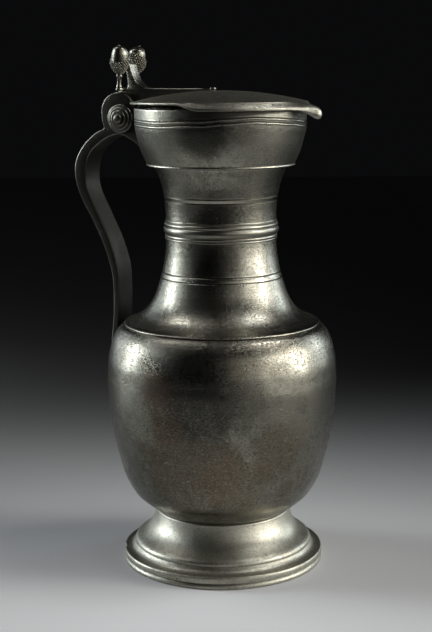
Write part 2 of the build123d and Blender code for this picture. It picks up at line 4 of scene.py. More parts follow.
import bmesh
import bpy
import numpy as np
from mathutils import Matrix, Vector, noise


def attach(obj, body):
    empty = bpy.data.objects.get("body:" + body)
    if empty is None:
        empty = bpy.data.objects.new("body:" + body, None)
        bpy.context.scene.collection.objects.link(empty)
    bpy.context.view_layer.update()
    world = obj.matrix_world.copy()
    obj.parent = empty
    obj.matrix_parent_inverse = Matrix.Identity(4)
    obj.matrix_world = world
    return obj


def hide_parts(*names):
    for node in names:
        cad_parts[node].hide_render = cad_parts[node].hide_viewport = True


bl_info = {
    "name": "Pewter jug with acorn thumbpiece",
    "version": (1, 0, 0),
    "blender": (4, 5, 0),
    "location": "View3D > Sidebar > Jug",
    "description": "Builds the looks of a lidded pewter jug around its packed solids",
    "category": "Add Mesh",
}

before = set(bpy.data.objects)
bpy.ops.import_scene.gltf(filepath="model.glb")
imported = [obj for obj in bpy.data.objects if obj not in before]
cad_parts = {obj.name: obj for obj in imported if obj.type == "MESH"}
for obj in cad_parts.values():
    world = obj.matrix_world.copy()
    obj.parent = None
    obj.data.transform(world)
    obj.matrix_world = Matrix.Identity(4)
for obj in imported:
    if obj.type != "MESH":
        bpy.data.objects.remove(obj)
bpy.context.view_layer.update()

MM = 0.001
SEGMENTS = 224
LID_SEGMENTS = 432
LID_RINGS = 26
HOLLOW_RINGS = 10

# Hinge, in millimetres
PIN = (-59.6, 252.3)
PIN_HOLE = 2.05
TONGUE_RADIUS = 6.2
BAR_HALF = 4.3
CHEEK_INNER = 4.6
CHEEK_OUTER = 8.1
CHEEK_CENTRE = (-61.5, 256.05)
CHEEK_RADIUS = 11.1

# Acorns, in millimetres, with the rim's slant as a ratio
ACORN_FOOT = Vector((-60.0, -8.3, 269.45))
ACORN_LEAN = Vector((2.4, -1.7, 24.1))
STEM_HEIGHT = 7.8
CUP_HEIGHT = 9.2
NUT_HEIGHT = 7.1
CUP_RADIUS = 5.35
SCALE_SIZE = 0.80
RIM_SLANT = 0.48
TIP_SHIFT = 1.3

# Lid and the rim under it, in millimetres
RIM_TOP = 258.7
LID_RADIUS = 50.0
LID_TIP = 60.7
DOME_CENTRE = 69.8
DOME_SPHERE = 198.2
HOLLOW_SPHERE = 196.0
HOLLOW_RADIUS = 44.0

# Studio, in metres, with the directions to the camera and to the view's right
TOWARD = Vector((0.4540, -0.8910, 0.0))
RIGHT = Vector((0.8910, 0.4540, 0.0))
LAMP_SPREAD = math.radians(40)
SIDE_LAMP_HEIGHT = 0.42
TOP_LAMP_HEIGHT = 0.95
CAMERA_PLACE = (0.3352, -0.6578, 0.2744)
CAMERA_PITCH = math.radians(10.20)
CAMERA_ROLL = math.radians(0.35)

# The camera's film and lens, in millimetres, and its shift in the photograph's pixels
SENSOR_HEIGHT = 24.0
FOCAL_LENGTH = 50.13
SHIFT_PIXELS = -5.64
PHOTO_HEIGHT = 632


# Sizes and colours that a user would change


class JugSizes(bpy.types.PropertyGroup):
    unevenness: bpy.props.FloatProperty(
        name="Unevenness",
        description="How far the turned walls stray inward from true",
        default=0.35 * MM,
        min=0.0,
        max=1.5 * MM,
        unit="LENGTH",
        subtype="DISTANCE",
    )
    edge_round: bpy.props.FloatProperty(
        name="Edge rounding",
        description="Rounding of the handle's long edges",
        default=0.9 * MM,
        min=0.1 * MM,
        max=2.0 * MM,
        unit="LENGTH",
        subtype="DISTANCE",
    )
    scale_rows: bpy.props.IntProperty(
        name="Scale rows",
        description="Rows of scales up each acorn cup",
        default=9,
        min=3,
        max=12,
    )
    scale_columns: bpy.props.IntProperty(
        name="Scales in a row",
        description="Scales round each acorn cup",
        default=22,
        min=8,
        max=32,
    )


class PewterColours(bpy.types.PropertyGroup):
    metal: bpy.props.FloatVectorProperty(
        name="Rubbed metal",
        description="Colour of the pewter where hands and cloths keep it bright",
        default=(0.40, 0.388, 0.325),
        size=3,
        subtype="COLOR",
        min=0.0,
        max=1.0,
    )
    patina: bpy.props.FloatVectorProperty(
        name="Patina",
        description="Colour of the dark oxide that covers the old surface",
        default=(0.105, 0.102, 0.082),
        size=3,
        subtype="COLOR",
        min=0.0,
        max=1.0,
    )
    stain: bpy.props.FloatVectorProperty(
        name="Stain",
        description="Colour of the brown stains",
        default=(0.100, 0.076, 0.050),
        size=3,
        subtype="COLOR",
        min=0.0,
        max=1.0,
    )
    # The dirt colour is also the colour that painted shade darkens towards.
    dirt_and_shade: bpy.props.FloatVectorProperty(
        name="Dirt",
        description="Colour of what has settled in the grooves",
        default=(0.030, 0.027, 0.022),
        size=3,
        subtype="COLOR",
        min=0.0,
        max=1.0,
    )


class StudioSettings(bpy.types.PropertyGroup):
    floor: bpy.props.FloatVectorProperty(
        name="Floor",
        description="Colour of the pale floor",
        default=(0.60, 0.60, 0.605),
        size=3,
        subtype="COLOR",
        min=0.0,
        max=1.0,
    )
    surround: bpy.props.FloatVectorProperty(
        name="Surround",
        description="Colour of the room round the jug",
        default=(0.003, 0.0031, 0.0034),
        size=3,
        subtype="COLOR",
        min=0.0,
        max=1.0,
    )
    softbox: bpy.props.FloatProperty(
        name="Softbox power",
        description="Power of each tall side light",
        default=0.84,
        min=0.0,
        max=100.0,
        unit="POWER",
    )


# Outlines and meshes


def clamped(share):
    """The share held between 0 and 1."""
    return max(0.0, min(1.0, share))


def eased(share):
    """The share held between 0 and 1, with a soft start and a soft end."""
    share = clamped(share)
    return share * share * (3 - 2 * share)


def from_table(table, value, ease=clamped):
    """The table's value at a place between its pairs, straight or eased."""
    for (low, one), (high, two) in zip(table, table[1:]):
        if low <= value <= high:
            return one + (two - one) * ease((value - low) / (high - low))
    return table[-1][1]


def degrees_off(angle, direction=0.0):
    """Degrees from a direction in degrees to an angle in radians, -180 to 180."""
    return (math.degrees(angle) - direction + 180) % 360 - 180


def smooth_run(steps, *points):
    """Points along a smooth line through the points, in some steps from each to the next."""
    line = []
    for i in range(len(points) - 1):
        before, start = points[max(i - 1, 0)], points[i]
        end, after = points[i + 1], points[min(i + 2, len(points) - 1)]
        for step in range(steps):
            t = step / steps
            place = []
            for a, b, c, d in zip(before, start, end, after):
                bend = (2 * a - 5 * b + 4 * c - d) * t**2 + (3 * b - a - 3 * c + d) * t**3
                place.append(0.5 * (2 * b + (c - a) * t + bend))
            line.append(tuple(place))
    line.append(tuple(points[-1]))
    return line


def join_runs(*runs):
    """One outline from several runs, without the doubled ends."""
    outline = []
    for run in runs:
        for point in run:
            if not outline or math.dist(outline[-1], point) > 1e-4:
                outline.append(tuple(point))
    if math.dist(outline[0], outline[-1]) < 1e-4:
        outline.pop()
    return outline


def fill_line(start, end, count):
    """Evenly spaced points from start to end."""
    return [tuple(a + (b - a) * i / count for a, b in zip(start, end)) for i in range(count + 1)]


def new_object(name, data):
    """A new object in the scene."""
    obj = bpy.data.objects.new(name, data)
    bpy.context.scene.collection.objects.link(obj)
    return obj


def arc(centre, radius, start, end, steps):
    """Points of an arc between two angles."""
    turns = [start + (end - start) * i / steps for i in range(steps + 1)]
    return [(centre[0] + radius * math.cos(t), centre[1] + radius * math.sin(t)) for t in turns]


def shifted(x, y, z):
    """A shift by the given millimetres."""
    return Matrix.Translation(Vector((x, y, z)) * MM)


def mesh_object(name, verts, faces):
    """A mesh object from vertices in millimetres, faces outward."""
    mesh = bpy.data.meshes.new(name)
    mesh.from_pydata([[c * MM for c in v] for v in verts], [], faces)
    body = bmesh.new()
    body.from_mesh(mesh)
    bmesh.ops.remove_doubles(body, verts=body.verts, dist=0.004 * MM)
    bmesh.ops.recalc_face_normals(body, faces=body.faces)
    body.to_mesh(mesh)
    body.free()
    return new_object(name, mesh)


def finish_mesh(obj, sharp_degrees=50.0):
    """Smooth shading with true edges, and the marks of worn edges and of dirt in recesses that its
    finish reads.
    """
    mesh = obj.data
    mesh.polygons.foreach_set("use_smooth", [True] * len(mesh.polygons))
    mesh.set_sharp_from_angle(angle=math.radians(sharp_degrees))
    body = bmesh.new()
    body.from_mesh(mesh)
    body.verts.ensure_lookup_table()
    bend = np.zeros(len(body.verts))
    hollow = np.zeros(len(body.verts))
    for edge in body.edges:
        if len(edge.link_faces) != 2:
            continue
        angle = edge.calc_face_angle_signed(0.0)
        for vert in edge.verts:
            bend[vert.index] = max(bend[vert.index], angle)
            hollow[vert.index] = max(hollow[vert.index], -angle)
    ends = np.array([[v.index for v in e.verts] for e in body.edges])
    body.free()
    count = np.bincount(ends.ravel(), minlength=len(bend)).clip(1)
    faint = math.radians(9)
    full = math.radians(35)
    for name, values in (("edge", bend), ("recess_dirt_and_shade", hollow)):
        marks = np.clip((values - faint) / (full - faint), 0, 1)
        for _ in range(2):
            total = np.zeros(len(marks))
            np.add.at(total, ends[:, 0], marks[ends[:, 1]])
            np.add.at(total, ends[:, 1], marks[ends[:, 0]])
            marks = 0.55 * marks + 0.45 * total / count
        layer = mesh.attributes.new(name, "FLOAT", "POINT")
        layer.data.foreach_set("value", marks.astype(np.float32))


def add_painted_shade(obj, amount):
    """Adds painted shade to the marks of dirt in recesses, by an amount from each vertex's place and
    normal.
    """
    layer = obj.data.attributes["recess_dirt_and_shade"].data
    for vert, mark in zip(obj.data.vertices, layer):
        mark.value = max(mark.value, amount(vert.co / MM, vert.normal))


def dress(obj, body, finish, slot, *nodes):
    """Gives a finished piece its pewter and its body, and hides the solids it stands for; the slot is
    not used.
    """
    obj.data.materials.clear()
    obj.data.materials.append(bpy.data.materials[f"{finish} pewter"])
    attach(obj, body)
    if nodes:
        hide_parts(*nodes)


def straying(radius, angle, height, amount):
    """How far a turned wall strays inward at a place, in millimetres."""
    x = radius * math.cos(angle)
    y = radius * math.sin(angle)
    slow = noise.noise(Vector((x, y, height)) * 0.022 + Vector((3.1, 7.7, 1.3)))
    quick = noise.noise(Vector((x, y, height * 1.4)) * 0.075 + Vector((9.2, 4.4, 6.8)))
    return amount * (0.5 + 0.42 * slow + 0.16 * quick)


def turned(name, outline, shape=None, segments=SEGMENTS):
    """Closed piece turned about the Z axis from its (radius, height) outline."""
    verts = []
    faces = []
    rows = len(outline)
    for radius, height in outline:
        for k in range(segments):
            angle = 2 * math.pi * k / segments
            r, z = (radius, height) if shape is None else shape(radius, angle, height)
            verts.append((r * math.cos(angle), r * math.sin(angle), z))
    for i in range(rows):
        j = (i + 1) % rows
        if outline[i][0] < 1e-6 and outline[j][0] < 1e-6:
            continue
        for k in range(segments):
            n = (k + 1) % segments
            faces.append((i * segments + k, i * segments + n, j * segments + n, j * segments + k))
    return mesh_object(name, verts, faces)


def offset_outline(outline, inset):
    """The closed outline moved inward by the inset."""
    count = len(outline)
    area = sum(
        outline[i][0] * outline[(i + 1) % count][1] - outline[(i + 1) % count][0] * outline[i][1]
        for i in range(count)
    )
    side = 1.0 if area > 0 else -1.0
    moved = []
    for i in range(count):
        before = Vector(outline[i - 1])
        here = Vector(outline[i])
        after = Vector(outline[(i + 1) % count])
        one = (here - before).normalized()
        two = (after - here).normalized()
        normal = Vector((-(one.y + two.y), one.x + two.x)) * side
        length = normal.length
        if length < 1e-6:
            moved.append(tuple(here))
            continue
        normal /= length
        stretch = min(1.6, 1.0 / max(0.35, length / 2))
        moved.append(tuple(here + normal * inset * stretch))
    return moved


def plate(name, outline, low, high, rounding, rings, narrow=None):
    """Flat piece from its side outline (x, z), between two y values, with rounded edges."""
    count = len(outline)
    turns = [0.5 * math.pi * i / rings for i in range(rings + 1)]
    layers = [(rounding * (1 - math.sin(t)), low + rounding * (1 - math.cos(t))) for t in turns]
    for t in reversed(turns):
        layers.append((rounding * (1 - math.sin(t)), high - rounding * (1 - math.cos(t))))
    verts = []
    for inset, y in layers:
        for x, z in offset_outline(outline, inset):
            verts.append((x, y if narrow is None else narrow(x, y), z))
    last = (len(layers) - 1) * count
    faces = [tuple(range(count))[::-1], tuple(range(last, last + count))]
    for i in range(len(layers) - 1):
        for k in range(count):
            n = (k + 1) % count
            faces.append((i * count + k, i * count + n, (i + 1) * count + n, (i + 1) * count + k))
    obj = mesh_object(name, verts, faces)
    body = bmesh.new()
    body.from_mesh(obj.data)
    wide = [f for f in body.faces if len(f.verts) > 4]
    bmesh.ops.triangulate(body, faces=wide, quad_method="BEAUTY", ngon_method="BEAUTY")
    body.to_mesh(obj.data)
    body.free()
    return obj


def box_mesh(name, low, high):
    """A plain box, used only to cut other pieces."""
    verts = list(itertools.product(*zip(low, high)))
    faces = [(0, 1, 3, 2), (4, 6, 7, 5), (0, 4, 5, 1), (2, 3, 7, 6), (0, 2, 6, 4), (1, 5, 7, 3)]
    return mesh_object(name, verts, faces)


def evaluated_mesh(obj):
    """The mesh that an object's modifiers make."""
    bpy.context.view_layer.update()
    graph = bpy.context.evaluated_depsgraph_get()
    return bpy.data.meshes.new_from_object(obj.evaluated_get(graph))


def discard(obj):
    """Removes an object and its mesh."""
    mesh = obj.data
    bpy.data.objects.remove(obj)
    bpy.data.meshes.remove(mesh)


def cut_away(obj, tool):
    """Cuts a tool's shape out of a piece and removes the tool."""
    cut = obj.modifiers.new("cut", "BOOLEAN")
    cut.operation = "DIFFERENCE"
    cut.solver = "EXACT"
    cut.object = tool
    result = evaluated_mesh(obj)
    obj.modifiers.clear()
    old = obj.data
    obj.data = result
    bpy.data.meshes.remove(old)
    discard(tool)


def slanted(obj):
    """Slants the rim between an acorn's cup and nut so that the nut looks outward."""
    rim = STEM_HEIGHT + CUP_HEIGHT
    for vert in obj.data.vertices:
        y, z = vert.co.y / MM, vert.co.z / MM
        share = (z - STEM_HEIGHT) / CUP_HEIGHT if z < rim else (rim + NUT_HEIGHT - z) / NUT_HEIGHT
        vert.co.z += RIM_SLANT * y * eased(share) * MM
        vert.co.y -= TIP_SHIFT * clamped((z - rim) / NUT_HEIGHT) ** 2 * MM


def leaning(obj, mirrored):
    """Moves a piece turned about its own Z axis onto the acorn's leaning axis."""
    axis = ACORN_LEAN.normalized()
    turn = Vector((0, 0, 1)).rotation_difference(axis).to_matrix().to_4x4()
    obj.data.transform(shifted(*ACORN_FOOT) @ turn)
    if mirrored:
        obj.data.transform(Matrix.Scale(-1, 4, Vector((0, 1, 0))))
        obj.data.flip_normals()


# Finishes


def fill(node, inputs):
    """Links or sets a node's inputs, each given by its title or its number."""
    for title, value in inputs.items():
        if isinstance(value, bpy.types.NodeSocket):
            node.id_data.links.new(value, node.inputs[title])
        else:
            node.inputs[title].default_value = value


def add_node(tree, kind, inputs=None, **settings):
    """A node with its settings and inputs."""
    node = tree.nodes.new(kind)
    for key, value in settings.items():
        setattr(node, key, value)
    fill(node, inputs or {})
    return node


def math_node(tree, operation, a, b=0.0, clamp=False):
    """One step of arithmetic on sockets or numbers."""
    node = add_node(tree, "ShaderNodeMath", {0: a, 1: b}, operation=operation, use_clamp=clamp)
    return node.outputs[0]


def times(a, b):
    """A socket's value times a number or another socket's value."""
    return math_node(a.id_data, "MULTIPLY", a, b)


def plus(a, b):
    """A socket's value plus a number or another socket's value."""
    return math_node(a.id_data, "ADD", a, b)


def minus(a, b):
    """A socket's value less a number or another socket's value."""
    return math_node(a.id_data, "SUBTRACT", a, b)


def map_range(value, low, high, to_low=0.0, to_high=1.0):
    """The value carried smoothly from one range to another."""
    ends = {"From Min": low, "From Max": high, "To Min": to_low, "To Max": to_high}
    node = add_node(
        value.id_data,
        "ShaderNodeMapRange",
        {"Value": value, **ends},
        interpolation_type="SMOOTHSTEP",
    )
    return node.outputs["Result"]


def mix_colour(tree, factor, one, two):
    """The first colour with the second laid over it by the factor."""
    return add_node(tree, "ShaderNodeMix", {0: factor, 6: one, 7: two}, data_type="RGBA").outputs[2]


def noise_node(vector, scale, detail=3.0, roughness=0.55, distortion=0.0):
    """Cloudy noise between 0 and 1."""
    inputs = {"Scale": scale, "Detail": detail, "Roughness": roughness, "Distortion": distortion}
    return add_node(vector.id_data, "ShaderNodeTexNoise", {"Vector": vector, **inputs}).outputs[0]


def stretched(vector, scale, turn=(0.0, 0.0, 0.0)):
    """The vector scaled and turned."""
    inputs = {"Vector": vector, "Scale": scale, "Rotation": turn}
    return add_node(vector.id_data, "ShaderNodeMapping", inputs).outputs[0]


def joined_vector(tree, *parts):
    """A vector made of its parts."""
    return add_node(tree, "ShaderNodeCombineXYZ", dict(enumerate(parts))).outputs[0]


def node_group(name, inputs, outputs):
    """A shader group with a Vector and the named sockets; what comes in, and its end."""
    group = bpy.data.node_groups.new(name, "ShaderNodeTree")
    for title, value in {"Vector": None, **inputs}.items():
        kind = "NodeSocketVector" if value is None else "NodeSocketFloat"
        socket = group.interface.new_socket(title, in_out="INPUT", socket_type=kind)
        if value is not None:
            socket.default_value = value
    for title in outputs:
        group.interface.new_socket(title, in_out="OUTPUT", socket_type="NodeSocketFloat")
    start = group.nodes.new("NodeGroupInput")
    end = group.nodes.new("NodeGroupOutput")
    return group, start.outputs, end


def turning_marks_group():
    """Fine rings left by the lathe, strongest where the metal is least worn."""
    group, given, end = node_group("turning marks", {"Flatness": 0.0}, ("Height", "Shade"))
    x, y, z = add_node(group, "ShaderNodeSeparateXYZ", {0: given["Vector"]}).outputs
    flat = joined_vector(group, x, y)
    away = add_node(group, "ShaderNodeVectorMath", {0: flat}, operation="LENGTH")
    upright = math_node(group, "SUBTRACT", 1.0, given["Flatness"])
    along = plus(times(away.outputs["Value"], given["Flatness"]), times(z, upright))
    fine, coarse = (
        noise_node(joined_vector(group, times(x, slow), times(y, slow), times(along, quick)), 1.0, 2.0)
        for quick, slow in ((5200.0, 14.0), (1700.0, 9.0))
    )
    height = plus(times(fine, 0.45), times(coarse, 0.55))
    fill(end, {"Height": height, "Shade": map_range(coarse, 0.35, 0.68)})
    return group


def stains_group():
    """Cloudy patina, brown stains and speckles at three sizes."""
    group, given, end = node_group("stains", {}, ("Clouds", "Stain", "Speckle", "Glint"))
    place = given["Vector"]
    broad = noise_node(place, 17.0, 5.0, 0.62, 0.6)
    middle = noise_node(stretched(place, (1.0, 1.0, 0.75)), 75.0, 7.0, 0.68, 0.7)
    fine = noise_node(stretched(place, (1.0, 1.0, 1.6)), 780.0, 6.0, 0.72, 0.4)
    masks = {
        "Clouds": map_range(plus(times(broad, 0.55), times(middle, 0.45)), 0.38, 0.60),
        "Stain": map_range(times(middle, broad), 0.23, 0.36),
        "Speckle": map_range(fine, 0.47, 0.66),
        "Glint": map_range(fine, 0.44, 0.30),
    }
    fill(end, masks)
    return group


def scratches_group():
    """Thin scratches in several directions and small pits."""
    group, given, end = node_group("scratches and pits", {}, ("Scratch", "Pit"))
    place = given["Vector"]
    lines = []
    for turn, size, width in (
        ((0.5, 0.3, 0.9), (34.0, 15.0, 20.0), 0.0028),
        ((1.4, -0.6, 0.2), (70.0, 26.0, 44.0), 0.0040),
        ((-0.7, 0.9, 1.8), (120.0, 40.0, 60.0), 0.0052),
    ):
        value = noise_node(stretched(place, size, turn), 1.0, 1.0, 0.4, 0.3)
        line = map_range(math_node(group, "ABSOLUTE", minus(value, 0.5)), width, 0.3 * width)
        rare = noise_node(stretched(place, (1.0, 1.0, 1.0), turn), 95.0, 2.0)
        lines.append(times(line, map_range(rare, 0.60, 0.66)))
    scratch = math_node(group, "MAXIMUM", lines[0], lines[1])
    scratch = math_node(group, "MAXIMUM", scratch, lines[2])
    holes = add_node(group, "ShaderNodeTexVoronoi", {"Vector": place, "Scale": 210.0})
    rare = noise_node(place, 60.0, 2.0)
    pit = times(map_range(holes.outputs["Distance"], 0.16, 0.05), map_range(rare, 0.52, 0.66))
    fill(end, {"Scratch": scratch, "Pit": pit})
    return group


def patch_group():
    """A soft round patch with a ragged edge, for stains and for painted dark reflections."""
    group, given, end = node_group("stain and painted reflection patch", {"Centre": None, "Radius": 0.03}, ("Patch",))
    ends = {0: given["Vector"], 1: given["Centre"]}
    away = add_node(group, "ShaderNodeVectorMath", ends, operation="DISTANCE").outputs["Value"]
    ragged = noise_node(given["Vector"], 55.0, 6.0, 0.65, 0.6)
    share = math_node(group, "DIVIDE", away, given["Radius"])
    share = plus(share, times(minus(ragged, 0.5), 1.1))
    fill(end, {"Patch": map_range(share, 1.15, 0.45)})
    return group


# Centre and radius in metres, strength and colour of each patch on a finish: brown stains, and painted
# dark reflections on the parts facing the camera
PAINTED_DARK_REFLECTION = (0.020, 0.020, 0.018)
STAINS_AND_PAINTED_REFLECTIONS = {
    "collar": (((0.0125, -0.0450, 0.2430), 0.0150, 0.75, PAINTED_DARK_REFLECTION),),
    "neck": (
        ((0.0123, -0.0290, 0.2020), 0.0120, 0.60, PAINTED_DARK_REFLECTION),
        ((0.0123, -0.0290, 0.1740), 0.0140, 0.60, PAINTED_DARK_REFLECTION),
    ),
    "belly": (
        # The dark brown patch low in the middle is partly brown stain and partly painted dark
        # reflection; the dark grey one above it is a painted dark reflection
        ((0.0060, -0.0590, 0.0700), 0.0340, 0.65, (0.055, 0.038, 0.024)),
        ((0.0170, -0.0600, 0.1050), 0.0250, 0.60, (0.030, 0.030, 0.028)),
        ((-0.0060, -0.0640, 0.1120), 0.0120, 0.45, (0.110, 0.050, 0.030)),
        ((-0.0020, -0.0620, 0.0920), 0.0120, 0.40, (0.080, 0.042, 0.028)),
        ((0.0320, -0.0500, 0.0600), 0.0240, 0.60, (0.140, 0.108, 0.072)),
        ((0.0500, -0.0340, 0.0780), 0.0200, 0.50, (0.145, 0.112, 0.076)),
        ((-0.0500, 0.0350, 0.0900), 0.0300, 0.60, (0.045, 0.034, 0.024)),
        ((0.0300, 0.0540, 0.0760), 0.0260, 0.55, (0.080, 0.056, 0.036)),
    ),
}


def pewter(groups, name, flatness, bright, stain, turning, rough, painted_shade, grain):
    """Aged pewter: rubbed metal under patina, stains, turning marks, scratches and worn edges, with
    painted shade and painted dark reflections where a finish asks for them.
    """
    colours = bpy.context.scene.jug_colours
    material = bpy.data.materials.new(f"{name} pewter")
    material.use_nodes = True
    tree = material.node_tree
    tree.nodes.clear()
    place = add_node(tree, "ShaderNodeTexCoord").outputs["Object"]

    def placed(group, **inputs):
        node = add_node(tree, "ShaderNodeGroup", node_tree=groups[group])
        fill(node, {"Vector": place, **inputs})
        return node.outputs

    def vertex_mark(title):
        return add_node(tree, "ShaderNodeAttribute", attribute_name=title).outputs["Fac"]

    marks = placed("turning", Flatness=flatness)
    clouds = placed("stains")
    wear = placed("scratches")
    edge = vertex_mark("edge")
    recess_dirt_and_shade = vertex_mark("recess_dirt_and_shade")
    # Dirt in recesses and pits, together with the painted shade added to the recess marks
    dirt_and_painted_shade = math_node(tree, "MAXIMUM", times(recess_dirt_and_shade, 0.85), times(wear["Pit"], 0.8))

    layers = [
        (map_range(clouds["Clouds"], 0.0, 1.0, bright, bright + 0.42), colours.metal),
        (times(clouds["Stain"], stain), colours.stain),
        (times(marks["Shade"], turning), colours.metal),
    ]
    # Patches: brown stains, and painted dark reflections where a part faces the camera
    for centre, radius, depth, tone in STAINS_AND_PAINTED_REFLECTIONS.get(name, ()):
        patch = placed("patch", Centre=centre, Radius=radius)["Patch"]
        layers.append((times(patch, depth), tone))
    layers += [
        # Painted shade: a painted shade below 1 darkens the whole piece towards half the dirt colour
        (1.0 - painted_shade, [0.5 * c for c in colours.dirt_and_shade]),
        (times(clouds["Speckle"], 0.9 * grain), colours.dirt_and_shade),
        (times(clouds["Glint"], 0.8 * grain), colours.metal),
        (times(wear["Scratch"], 0.5), colours.metal),
        (times(edge, 0.75), colours.metal),
        (dirt_and_painted_shade, colours.dirt_and_shade),
    ]
    base = (*colours.patina, 1.0)
    for share, tone in layers:
        base = mix_colour(tree, share, base, (*tone, 1.0))

    gloss = map_range(clouds["Clouds"], 0.0, 1.0, rough + 0.10, rough)
    gloss = plus(plus(gloss, times(clouds["Stain"], 0.07)), times(dirt_and_painted_shade, 0.25))
    gloss = math_node(tree, "SUBTRACT", gloss, times(edge, 0.08), clamp=True)

    relief = times(marks["Height"], 0.5)
    relief = minus(relief, times(wear["Scratch"], 0.5))
    relief = minus(relief, times(wear["Pit"], 1.6))
    relief = plus(relief, times(clouds["Clouds"], 0.8))
    relief = minus(relief, times(clouds["Speckle"], 1.6 * grain))
    bump = add_node(
        tree, "ShaderNodeBump", {"Strength": 0.35, "Distance": 0.00012, "Height": relief}
    )
    surface = {"Metallic": 1.0, "Base Color": base, "Roughness": gloss}
    surface["Normal"] = bump.outputs[0]
    shader = add_node(tree, "ShaderNodeBsdfPrincipled", surface)
    add_node(tree, "ShaderNodeOutputMaterial", {0: shader.outputs[0]})
    return material


# Pieces


def wall_shape(amount):
    """A turned wall with its slow unevenness."""

    def shape(radius, angle, height):
        return radius - straying(radius, angle, height, amount), height

    return shape


def groove(below, height, above):
    """Points of one fine turned line, from the wall's radius below it to the one above it."""
    depth = 0.45
    half = 0.42
    return [
        (below, height - half),
        (below - 0.5 * depth, height - 0.5 * half),
        (0.5 * (below + above) - depth, height),
        (above - 0.5 * depth, height + 0.5 * half),
        (above, height + half),
    ]


def lipped_line(radius, height):
    """Points of a turned line with a small bead along its lower side, from below to above."""
    return [
        (radius + 0.10, height - 0.95),
        (radius + 0.20, height - 0.72),
        (radius + 0.14, height - 0.48),
        (radius - 0.22, height - 0.14),
        (radius - 0.42, height + 0.06),
        (radius - 0.30, height + 0.26),
        (radius, height + 0.42),
    ]


class JUG_OT_foot(bpy.types.Operator):
    """Builds the stepped foot"""

    bl_idname = "jug.foot"
    bl_label = "Foot"

    def execute(self, context):
        amount = 0.54 * context.scene.jug_sizes.unevenness / MM
        bead = smooth_run(3, (56.7, 0.0), (57.35, 0.4), (57.5, 1.3), (57.25, 2.3), (56.85, 2.8))
        channel = smooth_run(2, (56.85, 2.8), (56.7, 3.05), (56.9, 3.35))
        band = smooth_run(3, (56.9, 3.35), (57.4, 3.6), (57.5, 4.4), (57.5, 5.6), (57.35, 6.5))
        brim = smooth_run(3, (57.35, 6.5), (57.0, 7.0), (56.3, 7.2))
        flange = smooth_run(4, (56.3, 7.2), (55.0, 7.35), (53.2, 7.9), (51.9, 8.9), (51.0, 10.2))
        step = smooth_run(2, (51.0, 10.2), (50.7, 10.6), (50.85, 10.95))
        cone = smooth_run(
            5, (50.85, 10.95), (50.8, 11.8), (50.25, 12.95), (49.1, 13.95), (47.6, 14.9),
            (45.8, 16.1), (44.0, 17.6), (42.4, 19.4), (41.0, 21.7), (39.9, 24.5), (39.2, 27.2),
            (38.8, 29.2),
        )
        ring = smooth_run(3, (38.8, 29.2), (38.75, 29.8), (38.3, 30.35), (37.5, 30.7))
        neck = smooth_run(2, (37.5, 30.7), (37.2, 30.8), (37.0, 30.95))
        inner = smooth_run(
            4, (34.7, 30.9), (37.4, 22.0), (41.6, 14.6), (48.0, 10.4), (52.8, 6.0), (53.6, 0.0),
        )
        outline = join_runs(bead, channel, band, brim, flange, step, cone, ring, neck, inner)

        def shape(radius, angle, height):
            if height < 0.01:
                return radius, 0.0
            nick = 0.0
            if height > 5.0 and radius > 55.0:
                away = (math.degrees(angle) - 211.0) / 2.2
                nick = 0.9 * math.exp(-away * away)
            return radius - straying(radius, angle, height, amount) - nick, height - 0.4 * nick

        foot = turned("foot_turned", outline, shape)
        finish_mesh(foot)
        dress(foot, "jug", "foot", "pewter", "foot")
        return {"FINISHED"}


class JUG_OT_belly(bpy.types.Operator):
    """Builds the round belly as one smooth wall"""

    bl_idname = "jug.belly"
    bl_label = "Belly"

    def execute(self, context):
        amount = 1.2 * context.scene.jug_sizes.unevenness / MM
        outer = smooth_run(
            7, (37.2, 30.7), (38.5, 30.9), (40.3, 32.0), (43.7, 34.6), (47.7, 37.9), (51.5, 42.0),
            (56.3, 51.0), (59.4, 61.8), (62.1, 74.0), (64.5, 90.0), (65.35, 105.0), (65.2, 112.0),
            (64.5, 120.0), (61.9, 130.0), (58.2, 136.0), (54.7, 138.5),
        )
        inner = smooth_run(
            4, (52.6, 136.6), (56.4, 134.0), (59.6, 129.4), (62.2, 119.6), (63.0, 105.0),
            (62.2, 90.0), (56.6, 63.0), (47.4, 44.6), (36.4, 33.6), (0.0, 33.4),
        )
        outline = join_runs(outer, inner, [(0.0, 31.1), (35.0, 31.05)])
        dents = (
            (-92.0, 62.0, 5.0, 0.55),
            (-38.0, 118.0, 6.5, 0.45),
            (-22.0, 92.0, 8.0, 0.40),
            (-118.0, 108.0, 7.5, 0.35),
            (140.0, 84.0, 9.0, 0.60),
            (62.0, 70.0, 7.0, 0.50),
        )

        def shape(radius, angle, height):
            stray = straying(radius, angle, height, amount)
            for turn, level, width, depth in dents:
                along = radius * math.radians(degrees_off(angle, turn))
                away = math.hypot(along, height - level) / width
                if away < 3:
                    stray += depth * math.exp(-away * away)
            return max(0.0, radius - stray * min(1.0, radius / 30)), height

        belly = turned("belly_turned", outline, shape)
        finish_mesh(belly)
        dress(belly, "jug", "belly", "pewter", "belly_lower", "belly_upper")
        return {"FINISHED"}


